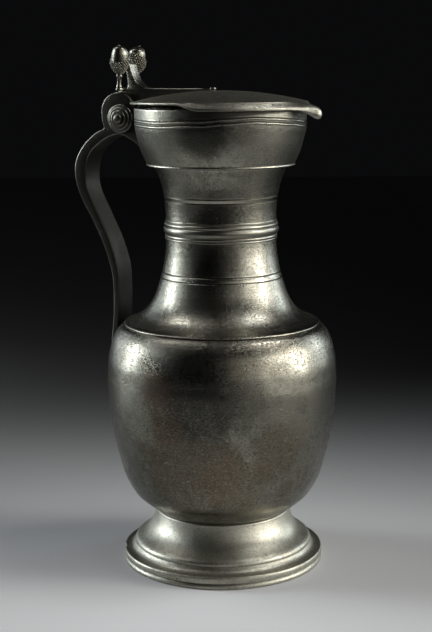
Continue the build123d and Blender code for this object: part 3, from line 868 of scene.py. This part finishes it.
class JUG_OT_neck(bpy.types.Operator):
    """Builds the shoulder, the neck and the band between them"""

    bl_idname = "jug.neck"
    bl_label = "Shoulder and neck"

    def execute(self, context):
        amount = 0.6 * context.scene.jug_sizes.unevenness / MM
        lip = smooth_run(
            3, (54.6, 138.4), (55.3, 138.55), (55.45, 139.0), (55.0, 139.45), (54.2, 139.6),
        )
        flare = smooth_run(
            6, (54.2, 139.6), (52.6, 140.1), (50.4, 141.1), (47.2, 142.8), (44.4, 144.9),
            (41.4, 148.0), (38.8, 152.0), (36.6, 157.0), (34.9, 162.4), (34.35, 164.38),
        )
        middle = fill_line((34.1, 165.22), (33.5, 167.48), 2)
        upper = smooth_run(
            5, (33.3, 168.32), (32.5, 172.4), (31.6, 177.6), (31.1, 183.0), (31.0, 186.3),
        )
        inner = smooth_run(
            5, (28.8, 191.0), (29.2, 178.0), (31.8, 162.0), (37.4, 148.4), (45.0, 141.4),
            (50.6, 138.6),
        )
        shoulder_line = join_runs(
            lip,
            flare,
            groove(34.35, 164.8, 34.1),
            middle,
            groove(33.5, 167.9, 33.3),
            upper,
            [(31.0, 191.0)],
            inner,
        )

        rise = smooth_run(5, (30.95, 197.2), (31.0, 200.0), (31.15, 203.4), (31.5, 207.38))
        funnel = smooth_run(
            6, (31.95, 210.72), (32.4, 213.0), (33.0, 216.0), (33.9, 219.0), (35.1, 222.2),
            (36.9, 226.4),
        )
        hollow = smooth_run(5, (34.7, 226.4), (31.6, 217.0), (29.4, 208.0), (28.8, 198.0))
        neck_line = join_runs(
            [(30.95, 191.0)],
            rise,
            groove(31.5, 207.8, 31.55),
            groove(31.9, 210.3, 31.95),
            funnel,
            hollow,
            [(28.75, 191.0)],
        )
        band_line = join_runs(
            smooth_run(3, (31.0, 186.2), (31.35, 186.3), (31.45, 186.9), (31.2, 187.3)),
            smooth_run(3, (31.2, 187.3), (31.5, 187.7), (31.6, 188.4), (31.3, 189.0)),
            smooth_run(
                4, (31.3, 189.0), (31.6, 189.5), (32.15, 190.5), (32.3, 191.8), (32.05, 193.0),
                (31.4, 193.7),
            ),
            smooth_run(3, (31.4, 193.7), (31.75, 194.0), (31.95, 194.7), (31.7, 195.4), (31.3, 195.8)),
            smooth_run(3, (31.3, 195.8), (31.35, 196.6), (31.3, 197.2), (30.9, 197.35)),
            [(30.0, 197.3), (30.0, 186.3)],
        )
        for node, outline, share, finish in (
            ("shoulder", shoulder_line, 1.0, "neck"),
            ("neck", neck_line, 0.8, "neck"),
            ("neck_band", band_line, 0.5, "rubbed"),
        ):
            piece = turned(f"{node}_turned", outline, wall_shape(amount * share))
            finish_mesh(piece)
            dress(piece, "jug", finish, "pewter", node)
        return {"FINISHED"}


# Rise of the collar's lines at degrees round the mouth from the lip
WAVE = (
    (-180.0, 0.10), (-153.0, 0.05), (-104.0, -0.70), (-76.0, 0.20), (-60.0, 1.25), (-41.0, 1.80),
    (-27.0, 1.30), (-12.5, 0.50), (7.7, -0.80), (27.0, -1.80), (50.0, -1.30), (85.0, -0.60),
    (130.0, -0.10), (180.0, 0.10),
)


def rim_wave(angle):
    """How far the collar's lines rise and fall round the mouth, in millimetres."""
    return from_table(WAVE, degrees_off(angle), eased)


# Depth of the painted shadow under the lid's skirt at degrees off the lid's tip
SKIRT_SHADOW = (
    (0.0, 0.8), (8.0, 1.3), (23.0, 2.4), (38.0, 3.2), (51.0, 4.0), (63.0, 5.0), (84.0, 5.0),
    (93.0, 0.0), (180.0, 0.0),
)


def painted_skirt_shadow(place, normal):
    """Painted shadow on the collar's band under the lid's skirt, deepest towards the sides."""
    depth = from_table(SKIRT_SHADOW, abs(degrees_off(math.atan2(place.y, place.x))))
    if depth < 0.1 or place.z < 252.0:
        return 0.0
    return clamped((place.z - (RIM_TOP - depth)) / 0.7 + 0.5)


class JUG_OT_collar(bpy.types.Operator):
    """Builds the collar with its ridge, lip and waving lines"""

    bl_idname = "jug.collar"
    bl_label = "Collar"

    def execute(self, context):
        amount = 0.7 * context.scene.jug_sizes.unevenness / MM
        under = smooth_run(3, (36.9, 226.4), (38.6, 226.55), (40.4, 226.8))
        ridge = smooth_run(3, (40.4, 226.8), (41.35, 227.1), (41.55, 227.6), (41.35, 228.1))
        cup = smooth_run(
            6, (41.35, 228.1), (41.55, 228.8), (42.6, 231.0), (44.3, 235.0), (45.55, 239.0),
            (46.5, 243.0), (47.25, 246.6), (47.55, 248.9),
        )
        middle = [(47.64, 250.9), (47.66, 251.2)]
        top = fill_line((47.68, 253.3), (47.7, 258.1), 7)
        rim = smooth_run(3, (47.7, 258.1), (47.5, 258.6), (46.6, 258.75), (45.8, 258.6), (45.5, 258.1))
        inner = smooth_run(
            5, (45.5, 258.1), (45.45, 250.0), (44.3, 243.0), (42.1, 235.0), (39.6, 229.4),
            (36.5, 227.9), (34.8, 227.8),
        )
        outline = join_runs(
            under,
            ridge,
            cup,
            lipped_line(47.62, 250.25),
            middle,
            lipped_line(47.68, 252.6),
            top,
            rim,
            inner,
            [(34.8, 226.4)],
        )

        def shape(radius, angle, height):
            rise = eased((height - 240.0) / 9.0)
            calm = 1.0 - 0.45 * clamped((height - 253.0) / 4.6)
            lip = math.exp(-((degrees_off(angle) / 16.0) ** 2))
            pull = max(0.0, (height - 243.0) / 17.8) ** 1.6
            r = radius - straying(radius, angle, height, amount) + 1.9 * pull * lip
            drop = 1.4 * lip * rise
            return r, height + rim_wave(angle) * rise * calm - drop * (1 - calm)

        collar = turned("collar_turned", outline, shape)
        finish_mesh(collar)
        # Painted shadow of the lid's skirt on the collar's band
        add_painted_shade(collar, painted_skirt_shadow)
        dress(collar, "jug", "collar", "pewter", "collar")
        return {"FINISHED"}


class JUG_OT_handle(bpy.types.Operator):
    """Builds the strap handle with its two hinge cheeks"""

    bl_idname = "jug.handle"
    bl_label = "Handle"

    def execute(self, context):
        rounding = context.scene.jug_sizes.edge_round / MM
        outer = smooth_run(
            5, (-71.0, 246.8), (-74.6, 245.2), (-78.4, 243.0), (-84.3, 238.0), (-89.0, 231.8),
            (-91.2, 226.0), (-91.55, 220.4), (-90.2, 212.7), (-86.4, 204.1), (-80.9, 195.0),
            (-75.4, 184.6), (-71.1, 174.6), (-68.0, 163.9), (-66.9, 154.1), (-67.1, 139.3),
            (-68.8, 124.2), (-69.5, 114.0),
        )
        end = smooth_run(4, (-69.5, 114.0), (-69.2, 109.6), (-67.2, 107.0), (-64.6, 106.0))
        seat = fill_line((-63.3, 107.0), (-63.2, 121.0), 3)
        inner = smooth_run(
            5, (-64.25, 124.4), (-64.2, 134.5), (-63.3, 144.0), (-63.1, 154.4), (-63.9, 167.1),
            (-68.4, 181.4), (-75.2, 195.2), (-81.0, 206.4), (-83.6, 213.2), (-84.2, 220.6),
            (-82.8, 228.0), (-79.8, 233.4), (-75.1, 237.4), (-70.6, 240.4), (-65.9, 242.4),
            (-60.1, 243.2), (-52.6, 240.1), (-48.1, 236.7), (-45.6, 233.1), (-44.0, 230.0),
        )
        fit = [(-42.6, 231.4), (-43.6, 235.6), (-45.0, 240.0), (-46.2, 245.0), (-46.6, 249.0)]
        ledge = smooth_run(3, (-46.6, 249.0), (-48.4, 249.4), (-50.0, 250.3), (-50.4, 252.0))
        head = arc(CHEEK_CENTRE, CHEEK_RADIUS, 0.0, math.pi, 32)
        neckline = smooth_run(3, (-72.6, 256.05), (-72.3, 251.6), (-71.4, 248.2), (-71.0, 246.8))
        outline = join_runs(outer, end, seat, inner, fit, ledge, head, neckline)

        handle = plate("handle_strap", outline, -CHEEK_OUTER, CHEEK_OUTER, rounding, 4)
        for low, high in (((-100.0, 245.5), (-52.9, 290.0)), ((-60.0, 252.3), (-30.0, 290.0))):
            corner = (low[0], -CHEEK_INNER, low[1])
            cut_away(handle, box_mesh("slot_tool", corner, (high[0], CHEEK_INNER, high[1])))
        finish_mesh(handle, 40.0)
        # Painted shade on the strap's side that faces the jug
        add_painted_shade(handle, lambda place, normal: 0.9 * clamped(2.5 * normal.x - 1.0))
        dress(handle, "jug", "handle", "pewter", "handle")
        return {"FINISHED"}


class JUG_OT_hinge(bpy.types.Operator):
    """Builds the stepped bosses on the hinge pin and finishes the pin"""

    bl_idname = "jug.hinge"
    bl_label = "Hinge bosses and pin"

    def execute(self, context):
        outline = join_runs(
            [(0.0, 0.0), (8.0, 0.0)],
            smooth_run(3, (8.0, 0.0), (8.15, 0.4), (7.95, 0.95), (7.5, 1.15)),
            [(6.55, 1.1)],
            smooth_run(3, (6.45, 1.2), (6.45, 1.8), (6.1, 2.2), (5.7, 2.3)),
            [(4.85, 2.2)],
            smooth_run(3, (4.7, 2.3), (4.65, 2.8), (4.3, 3.1), (3.9, 3.2)),
            [(2.9, 3.0)],
            smooth_run(4, (2.6, 3.1), (2.45, 3.8), (1.7, 4.35), (0.7, 4.55), (0.0, 4.58)),
        )
        for side, name in ((-1, "near"), (1, "far")):
            boss = turned(f"boss_{name}", outline, segments=96)
            tip = Matrix.Rotation(math.radians(-90 * side), 4, "X")
            boss.data.transform(shifted(PIN[0], side * CHEEK_OUTER, PIN[1]) @ tip)
            finish_mesh(boss, 60.0)
            dress(boss, "jug", "hinge", "hinge_pewter", f"pin_boss_{name}")
        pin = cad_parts["hinge_pin"]
        pin.data.materials.clear()
        pin.data.materials.append(bpy.data.materials["hinge pewter"])
        return {"FINISHED"}


# Share of the tip's outline at degrees off the tip, outward and downward
TIP_PULL = (
    (0.0, 1.0), (1.5, 0.95), (3.0, 0.78), (6.0, 0.52), (9.0, 0.34), (12.0, 0.215), (15.0, 0.13),
    (18.0, 0.07), (21.0, 0.034), (24.0, 0.012), (28.0, 0.0), (180.0, 0.0),
)
TIP_DROOP = (
    (0.0, 1.0), (2.0, 0.92), (3.5, 0.72), (6.0, 0.34), (9.0, 0.14), (12.0, 0.06), (17.0, 0.0),
    (180.0, 0.0),
)
# Outlines of the lid's edge at the back, at the sides and at the tip
BACK_EDGE = (
    (48.4, 262.0), (48.8, 262.0), (49.2, 262.0), (49.6, 261.95), (49.8, 261.75), (49.88, 261.4),
    (49.88, 261.1), (49.8, 260.85), (49.5, 260.72), (49.2, 260.72), (48.9, 260.72), (48.5, 260.74),
    (48.0, 260.78), (47.4, 260.8),
)
SKIRT_EDGE = (
    (48.4, 262.0), (48.55, 261.45), (49.5, 260.45), (50.45, 259.3), (50.66, 258.95), (50.7, 258.4),
    (50.7, 258.0), (50.58, 257.72), (50.2, 257.62), (49.8, 257.66), (49.5, 257.95), (49.05, 258.9),
    (48.4, 260.0), (47.4, 260.8),
)
TIP_EDGE = (
    (46.4, 262.6), (49.2, 262.0), (52.9, 261.0), (56.6, 259.8), (58.9, 258.7), (60.15, 257.3),
    (60.65, 255.2), (60.2, 253.3), (59.3, 252.6), (58.2, 252.9), (56.3, 254.5), (53.9, 256.4),
    (50.9, 258.2), (47.6, 260.7),
)


def dome_level(radius, sphere):
    """Height of the lid's dome of the given sphere radius."""
    return DOME_CENTRE + math.sqrt(sphere * sphere - radius * radius)


def lid_line(angle):
    """The lid's outline in one direction: over the dome, round the edge and back underneath."""
    off = abs(degrees_off(angle))
    pull = from_table(TIP_PULL, off)
    droop = from_table(TIP_DROOP, off)
    skirt = eased((LID_RADIUS * math.cos(angle) + 2.0) / 14.0)
    edge = []
    for back, side, tip in zip(BACK_EDGE, SKIRT_EDGE, TIP_EDGE):
        r, z = (a + (b - a) * skirt for a, b in zip(back, side))
        edge.append((r + (tip[0] - r) * pull, z + (tip[1] - z) * droop))
    over = [edge[0][0] * (i / LID_RINGS) ** 0.8 for i in range(1, LID_RINGS)]
    under = [HOLLOW_RADIUS * (1 - (i / HOLLOW_RINGS) ** 1.4) for i in range(HOLLOW_RINGS)]
    dome = [(r, dome_level(r, DOME_SPHERE)) for r in over]
    return dome + edge + [(r, dome_level(r, HOLLOW_SPHERE)) for r in under]


class JUG_OT_lid(bpy.types.Operator):
    """Builds the heart-shaped lid with its skirt and hooked tip"""

    bl_idname = "jug.lid"
    bl_label = "Lid"

    def execute(self, context):
        amount = 0.55 * context.scene.jug_sizes.unevenness / MM
        angles = [2 * math.pi * k / LID_SEGMENTS for k in range(LID_SEGMENTS)]
        verts = []
        faces = []
        rows = list(zip(*[lid_line(angle) for angle in angles]))
        for row in rows:
            for angle, (r, z) in zip(angles, row):
                spot = Vector((r * math.cos(angle), r * math.sin(angle), 0.0))
                dip = amount * (noise.noise(spot * 0.045 + Vector((2.2, 5.1, 0.4))) - 0.2)
                fade = 1.0 - (r / LID_TIP) ** 4
                verts.append((spot.x, spot.y, z + min(0.0, dip * fade)))
        top_pole = len(verts)
        low_pole = top_pole + 1
        for sphere in (DOME_SPHERE, HOLLOW_SPHERE):
            verts.append((0.0, 0.0, dome_level(0.0, sphere) - 0.1))
        last = (len(rows) - 1) * LID_SEGMENTS
        for k in range(LID_SEGMENTS):
            n = (k + 1) % LID_SEGMENTS
            faces.append((top_pole, k, n))
            for start in range(0, last, LID_SEGMENTS):
                end = start + LID_SEGMENTS
                faces.append((start + k, end + k, end + n, start + n))
            faces.append((low_pole, last + n, last + k))
        lid = mesh_object("lid_plate", verts, faces)
        cut_away(lid, box_mesh("notch_tool", (-60.0, -8.8, 250.0), (-46.5, 8.8, 270.0)))
        finish_mesh(lid, 45.0)
        dress(lid, "lid", "lid", "pewter", "lid")
        return {"FINISHED"}


class JUG_OT_bar(bpy.types.Operator):
    """Builds the tongue, wedge and strap on the lid, with the stud and the saddle"""

    bl_idname = "jug.bar"
    bl_label = "Lid bar, stud and saddle"

    def execute(self, context):
        tongue = arc(PIN, TONGUE_RADIUS, -math.pi, 0.0, 16)
        throat = smooth_run(
            4, (-53.4, 252.3), (-52.9, 254.8), (-51.4, 257.2), (-49.4, 259.1), (-47.8, 260.3),
        )
        under = [(-46.5, 260.9), (-46.5, 262.2)]
        stops = (-44, -38, -32, -26, -20, -14, -9, -6.2)
        base = [(x, dome_level(abs(x), DOME_SPHERE) - 0.5) for x in stops]
        crest = [(-6.2, 268.95), (-12.0, 268.98), (-20.0, 269.02), (-28.0, 269.08), (-36.0, 269.16)]
        front = smooth_run(
            5, (-36.0, 269.16), (-41.0, 269.2), (-45.6, 269.5), (-49.0, 270.8), (-51.6, 273.2),
            (-53.3, 276.2), (-54.3, 279.0), (-55.4, 282.8),
        )
        back = smooth_run(
            5, (-58.6, 282.6), (-57.9, 279.4), (-57.2, 276.0), (-56.7, 272.6), (-56.9, 269.6),
            (-57.6, 268.2),
        )
        heel = smooth_run(4, (-62.6, 267.9), (-63.6, 264.0), (-64.8, 258.0), (-65.8, 252.3))
        top = smooth_run(3, (-55.4, 282.8), (-56.2, 283.4), (-57.8, 283.3), (-58.6, 282.6))
        outline = join_runs(tongue, throat, under, base, crest, front, top, back, heel)

        def narrow(x, y):
            return y * (1.0 - 0.63 * clamped((x + 46.0) / 41.5))

        bar = plate("lid_bar_strap", outline, -BAR_HALF, BAR_HALF, 0.5, 3, narrow)
        rod = [(0.0, -20.0), (PIN_HOLE, -20.0), (PIN_HOLE, 20.0), (0.0, 20.0)]
        hole = turned("pin_tool", rod, segments=64)
        turn = Matrix.Rotation(math.radians(90), 4, "X")
        hole.data.transform(shifted(PIN[0], 0, PIN[1]) @ turn)
        cut_away(bar, hole)
        finish_mesh(bar, 40.0)
        dress(bar, "lid", "bar", "pewter", "lid_bar")

        button = smooth_run(4, (1.9, 269.0), (1.85, 269.35), (1.2, 269.62), (0.0, 269.7))
        stud_line = join_runs([(0.0, 266.8), (1.6, 266.8), (1.75, 268.9)], button)
        stud = turned("stud_turned", stud_line, segments=48)
        stud.data.transform(shifted(-4.5, 0, 0))
        finish_mesh(stud, 60.0)
        dress(stud, "lid", "rubbed", "hinge_pewter", "lid_stud")

        rounding = []
        for i in range(40):
            angle = 2 * math.pi * i / 40
            x = 2.3 * math.copysign(abs(math.cos(angle)) ** 0.7, math.cos(angle))
            y = 10.1 * math.copysign(abs(math.sin(angle)) ** 0.35, math.sin(angle))
            rounding.append((-60.0 + x, y))
        saddle = plate("saddle_plate", rounding, 267.97, 269.42, 0.35, 3)
        upright = Matrix(((1, 0, 0, 0), (0, 0, 1, 0), (0, 1, 0, 0), (0, 0, 0, 1)))
        saddle.data.transform(upright)
        saddle.data.flip_normals()
        finish_mesh(saddle, 50.0)
        dress(saddle, "lid", "bar", "hinge_pewter", "thumb_saddle")
        return {"FINISHED"}


def scale_tree(material):
    """Geometry nodes that set rows of overlapping scales round an acorn's cup."""
    tree = bpy.data.node_groups.new("acorn scales", "GeometryNodeTree")
    new_socket = tree.interface.new_socket
    new_socket("Geometry", in_out="INPUT", socket_type="NodeSocketGeometry")
    sockets = {}
    for title, kind, value in (
        ("Rows", "NodeSocketInt", 7),
        ("Columns", "NodeSocketInt", 18),
        ("Cup radius", "NodeSocketFloat", CUP_RADIUS * MM),
        ("Cup height", "NodeSocketFloat", CUP_HEIGHT * MM),
        ("Scale size", "NodeSocketFloat", SCALE_SIZE * MM),
    ):
        socket = new_socket(title, in_out="INPUT", socket_type=kind)
        socket.default_value = value
        sockets[title] = socket.identifier
    new_socket("Geometry", in_out="OUTPUT", socket_type="NodeSocketGeometry")
    given = add_node(tree, "NodeGroupInput").outputs
    end = add_node(tree, "NodeGroupOutput")
    rows = given["Rows"]
    columns = given["Columns"]

    index = add_node(tree, "GeometryNodeInputIndex").outputs[0]
    row = math_node(tree, "FLOOR", math_node(tree, "DIVIDE", index, columns))
    column = math_node(tree, "MODULO", index, columns)
    share = math_node(tree, "DIVIDE", plus(row, 0.55), rows)
    shift = times(math_node(tree, "MODULO", row, 2.0), 0.5)
    angle = times(math_node(tree, "DIVIDE", plus(column, shift), columns), 2 * math.pi)
    swell = add_node(tree, "ShaderNodeFloatCurve", {"Value": share})
    curve = swell.mapping.curves[0]
    curve.points[0].location = (0.0, 0.30)
    curve.points[1].location = (1.0, 0.97)
    for place in ((0.2, 0.62), (0.48, 0.88), (0.8, 0.985)):
        curve.points.new(*place)
    swell.mapping.update()
    radius = times(swell.outputs[0], given["Cup radius"])
    x = times(radius, math_node(tree, "COSINE", angle))
    y = times(radius, math_node(tree, "SINE", angle))
    place = joined_vector(tree, x, y, times(share, given["Cup height"]))
    points = add_node(tree, "GeometryNodePoints", {"Count": times(rows, columns), "Position": place})

    size = {"Subdivisions": 1, "Radius": given["Scale size"]}
    ball = add_node(tree, "GeometryNodeMeshIcoSphere", size).outputs["Mesh"]
    flat = {"Geometry": ball, "Scale": (0.42, 0.78, 1.05)}
    tilt = times(math_node(tree, "SUBTRACT", 1.0, share), 0.85)
    each = {
        "Points": points.outputs[0],
        "Instance": add_node(tree, "GeometryNodeTransform", flat).outputs[0],
        "Rotation": joined_vector(tree, 0.0, tilt, angle),
    }
    spread = add_node(tree, "GeometryNodeInstanceOnPoints", each).outputs[0]
    real = add_node(tree, "GeometryNodeRealizeInstances", {0: spread}).outputs[0]
    paint = add_node(tree, "GeometryNodeSetMaterial", {"Geometry": real, "Material": material})
    fill(end, {0: paint.outputs[0]})
    return tree, sockets


def grown_scales(name, tree, sockets, sizes):
    """The scales of one acorn as a plain mesh object."""
    holder = new_object("scales_holder", bpy.data.meshes.new("scales"))
    grow = holder.modifiers.new("scales", "NODES")
    grow.node_group = tree
    grow[sockets["Rows"]] = sizes.scale_rows
    grow[sockets["Columns"]] = sizes.scale_columns
    mesh = evaluated_mesh(holder)
    discard(holder)
    mesh.transform(shifted(0, 0, STEM_HEIGHT))
    mesh.polygons.foreach_set("use_smooth", [True] * len(mesh.polygons))
    return new_object(name, mesh)


class JUG_OT_acorns(bpy.types.Operator):
    """Builds both acorns: stem, scaled cup and smooth nut"""

    bl_idname = "jug.acorns"
    bl_label = "Acorn thumbpiece"

    def execute(self, context):
        cup_base = STEM_HEIGHT
        cup_top = STEM_HEIGHT + CUP_HEIGHT
        stem_line = join_runs(
            [(0.0, -0.3), (1.7, -0.3)],
            smooth_run(
                4, (1.7, -0.3), (1.65, 0.8), (1.3, 2.2), (1.25, 4.4), (1.5, 5.6), (1.85, 6.5),
                (1.75, 7.2), (1.5, 7.8),
            ),
            [(0.0, 7.9)],
        )
        cup_line = join_runs(
            [(0.0, cup_base - 0.05)],
            smooth_run(
                5, (1.5, cup_base), (3.3, cup_base + 1.85), (4.7, cup_base + 4.4),
                (5.1, cup_base + 7.2), (5.2, cup_base + 8.4),
            ),
            smooth_run(3, (5.2, cup_base + 8.4), (5.3, cup_base + 8.9), (5.1, cup_top + 0.1)),
            [(4.95, cup_top), (4.95, cup_top - 1.2), (0.0, cup_top - 1.2)],
        )
        nut_line = join_runs(
            [(0.0, cup_top - 1.15), (4.9, cup_top - 1.15)],
            smooth_run(
                5, (4.9, cup_top - 1.15), (4.9, cup_top + 0.9), (4.55, cup_top + 3.2),
                (3.2, cup_top + 5.4), (1.3, cup_top + 6.35), (0.75, cup_top + 6.6),
                (0.55, cup_top + 6.95), (0.0, cup_top + 7.05),
            ),
        )
        tree, sockets = scale_tree(bpy.data.materials["acorn pewter"])
        for side, mirrored in (("near", False), ("far", True)):
            for part, line, finish in (
                ("stem", stem_line, "hinge"),
                ("acorn_cup", cup_line, "acorn"),
                ("acorn_nut", nut_line, "acorn"),
            ):
                piece = turned(f"{part}_turned_{side}", line, segments=64)
                if part != "stem":
                    slanted(piece)
                leaning(piece, mirrored)
                finish_mesh(piece, 60.0)
                dress(piece, "lid", finish, f"{finish}_pewter", f"{part}_{side}")
            scales = grown_scales(f"acorn_scales_{side}", tree, sockets, context.scene.jug_sizes)
            slanted(scales)
            leaning(scales, mirrored)
            dress(scales, "lid", "acorn", "acorn_pewter")
        return {"FINISHED"}


class JUG_OT_finishes(bpy.types.Operator):
    """Makes the pewter finishes that the pieces use"""

    bl_idname = "jug.finishes"
    bl_label = "Pewter finishes"

    def execute(self, context):
        groups = {
            "turning": turning_marks_group(),
            "stains": stains_group(),
            "scratches": scratches_group(),
            "patch": patch_group(),
        }
        # Name, flatness, brightness, stains, turning marks, roughness, painted shade and grain; a
        # painted shade below 1 darkens a piece that lies in shade, most of all the handle
        for finish in (
            ("foot", 0.3, 0.76, 0.35, 0.20, 0.36, 1.00, 0.55),
            ("belly", 0.0, 0.10, 0.60, 0.14, 0.20, 1.00, 0.70),
            ("neck", 0.0, 0.10, 0.25, 0.22, 0.22, 1.00, 0.55),
            ("collar", 0.0, 0.42, 0.24, 0.18, 0.24, 1.00, 0.60),
            ("lid", 1.0, 0.22, 0.45, 0.14, 0.33, 1.00, 1.00),
            ("rubbed", 0.0, 0.30, 0.20, 0.25, 0.26, 1.00, 0.30),
            ("handle", 0.0, 0.00, 0.30, 0.00, 0.30, 0.12, 0.20),
            ("bar", 0.0, 0.20, 0.40, 0.03, 0.26, 0.85, 0.45),
            ("hinge", 0.0, 0.22, 0.45, 0.03, 0.26, 0.70, 0.50),
            ("acorn", 0.0, 0.18, 0.50, 0.03, 0.26, 0.90, 0.30),
        ):
            pewter(groups, *finish)
        return {"FINISHED"}


def lay_floor(colour):
    """The pale floor, from a little before the jug to far behind it."""
    corners = [TOWARD * a + RIGHT * b for a, b in ((0.5, -3), (0.5, 3), (-3, 3), (-3, -3))]
    floor = mesh_object("floor", [corner / MM for corner in corners], [(0, 1, 2, 3)])
    material = bpy.data.materials.new("floor")
    material.use_nodes = True
    shader = material.node_tree.nodes["Principled BSDF"]
    fill(shader, {"Base Color": (*colour, 1.0), "Roughness": 0.75})
    floor.data.materials.append(material)


def hang_lamps(power):
    """Soft lamps round and above the jug, all aimed at its middle."""
    middle = TOWARD * 0.13 + Vector((0.0, 0.0, 0.19))
    for name, across, near, size, share, tint in (
        ("left softbox", -0.93, -0.17, (0.28, 0.80), 1.0, (0.88, 0.95, 1.0)),
        ("left rim", -0.75, -0.60, (0.60, 0.80), 0.18, (0.84, 0.93, 1.0)),
        ("right softbox", 0.90, 0.16, (0.34, 0.80), 1.0, (1.0, 0.98, 0.93)),
        ("right fill", 0.80, 0.60, (0.62, 0.80), 0.50, (1.0, 0.98, 0.94)),
        ("front fill", 0.45, 1.00, (0.60, 0.80), 0.10, (1.0, 0.98, 0.95)),
        ("right rim", 0.86, -0.38, (0.50, 0.80), 0.45, (0.86, 0.94, 1.0)),
        ("top left", -0.48, -0.05, (0.40, 0.35), 0.17, (1.0, 1.0, 1.0)),
        ("top right", 0.50, 0.12, (0.45, 0.35), 0.32, (1.0, 1.0, 1.0)),
    ):
        lamp = bpy.data.lights.new(name, "AREA")
        lamp.shape = "RECTANGLE"
        lamp.size, lamp.size_y = size
        lamp.energy = power * share
        lamp.color = tint
        lamp.spread = LAMP_SPREAD
        holder = new_object(name, lamp)
        height = TOP_LAMP_HEIGHT if name.startswith("top") else SIDE_LAMP_HEIGHT
        holder.location = RIGHT * across + TOWARD * near + Vector((0, 0, height))
        aim = (middle - holder.location).to_track_quat("-Z", "Y")
        holder.rotation_euler = aim.to_euler()


def set_camera(scene):
    """The camera at the photograph's viewing angle."""
    lens = bpy.data.cameras.new("camera")
    lens.sensor_fit = "VERTICAL"
    lens.sensor_height = SENSOR_HEIGHT
    lens.lens = FOCAL_LENGTH
    lens.shift_x = SHIFT_PIXELS / PHOTO_HEIGHT
    ahead = -TOWARD * math.cos(CAMERA_PITCH) - Vector((0, 0, math.sin(CAMERA_PITCH)))
    side = ahead.cross(Vector((0, 0, 1))).normalized()
    up = side.cross(ahead)
    leaned_side = side * math.cos(CAMERA_ROLL) - up * math.sin(CAMERA_ROLL)
    leaned_up = up * math.cos(CAMERA_ROLL) + side * math.sin(CAMERA_ROLL)
    turn = Matrix((leaned_side, leaned_up, -ahead)).transposed()
    eye = new_object("camera", lens)
    eye.matrix_world = Matrix.Translation(CAMERA_PLACE) @ turn.to_4x4()
    scene.camera = eye


class JUG_OT_stage(bpy.types.Operator):
    """Builds the floor, the soft lights, the room and the camera"""

    bl_idname = "jug.stage"
    bl_label = "Studio"

    def execute(self, context):
        scene = context.scene
        lay_floor(scene.jug_studio.floor)
        hang_lamps(scene.jug_studio.softbox)
        world = bpy.data.worlds.new("room")
        world.use_nodes = True
        room = world.node_tree.nodes["Background"]
        fill(room, {"Color": (*scene.jug_studio.surround, 1.0), "Strength": 1.0})
        scene.world = world
        scene.view_settings.view_transform = "Standard"
        set_camera(scene)
        return {"FINISHED"}


OPERATORS = (
    JUG_OT_finishes,
    JUG_OT_foot,
    JUG_OT_belly,
    JUG_OT_neck,
    JUG_OT_collar,
    JUG_OT_handle,
    JUG_OT_hinge,
    JUG_OT_lid,
    JUG_OT_bar,
    JUG_OT_acorns,
    JUG_OT_stage,
)


class JUG_PT_panel(bpy.types.Panel):
    """Lists the jug's sizes, colours and pieces"""

    bl_label = "Pewter jug"
    bl_idname = "JUG_PT_panel"
    bl_space_type = "VIEW_3D"
    bl_region_type = "UI"
    bl_category = "Jug"

    def draw(self, context):
        for group in (context.scene.jug_sizes, context.scene.jug_colours, context.scene.jug_studio):
            for name in group.bl_rna.properties.keys():
                if name not in ("name", "rna_type"):
                    self.layout.prop(group, name)
        for operator in OPERATORS:
            self.layout.operator(operator.bl_idname)


GROUPS = (JugSizes, PewterColours, StudioSettings)


def register():
    for item in GROUPS + OPERATORS + (JUG_PT_panel,):
        bpy.utils.register_class(item)
    bpy.types.Scene.jug_sizes = bpy.props.PointerProperty(type=JugSizes)
    bpy.types.Scene.jug_colours = bpy.props.PointerProperty(type=PewterColours)
    bpy.types.Scene.jug_studio = bpy.props.PointerProperty(type=StudioSettings)


def unregister():
    del bpy.types.Scene.jug_sizes
    del bpy.types.Scene.jug_colours
    del bpy.types.Scene.jug_studio
    for item in reversed(GROUPS + OPERATORS + (JUG_PT_panel,)):
        bpy.utils.unregister_class(item)


def main():
    register()
    for operator in OPERATORS:
        family, name = operator.bl_idname.split(".")
        getattr(getattr(bpy.ops, family), name)()


if __name__ == "__main__":
    main()
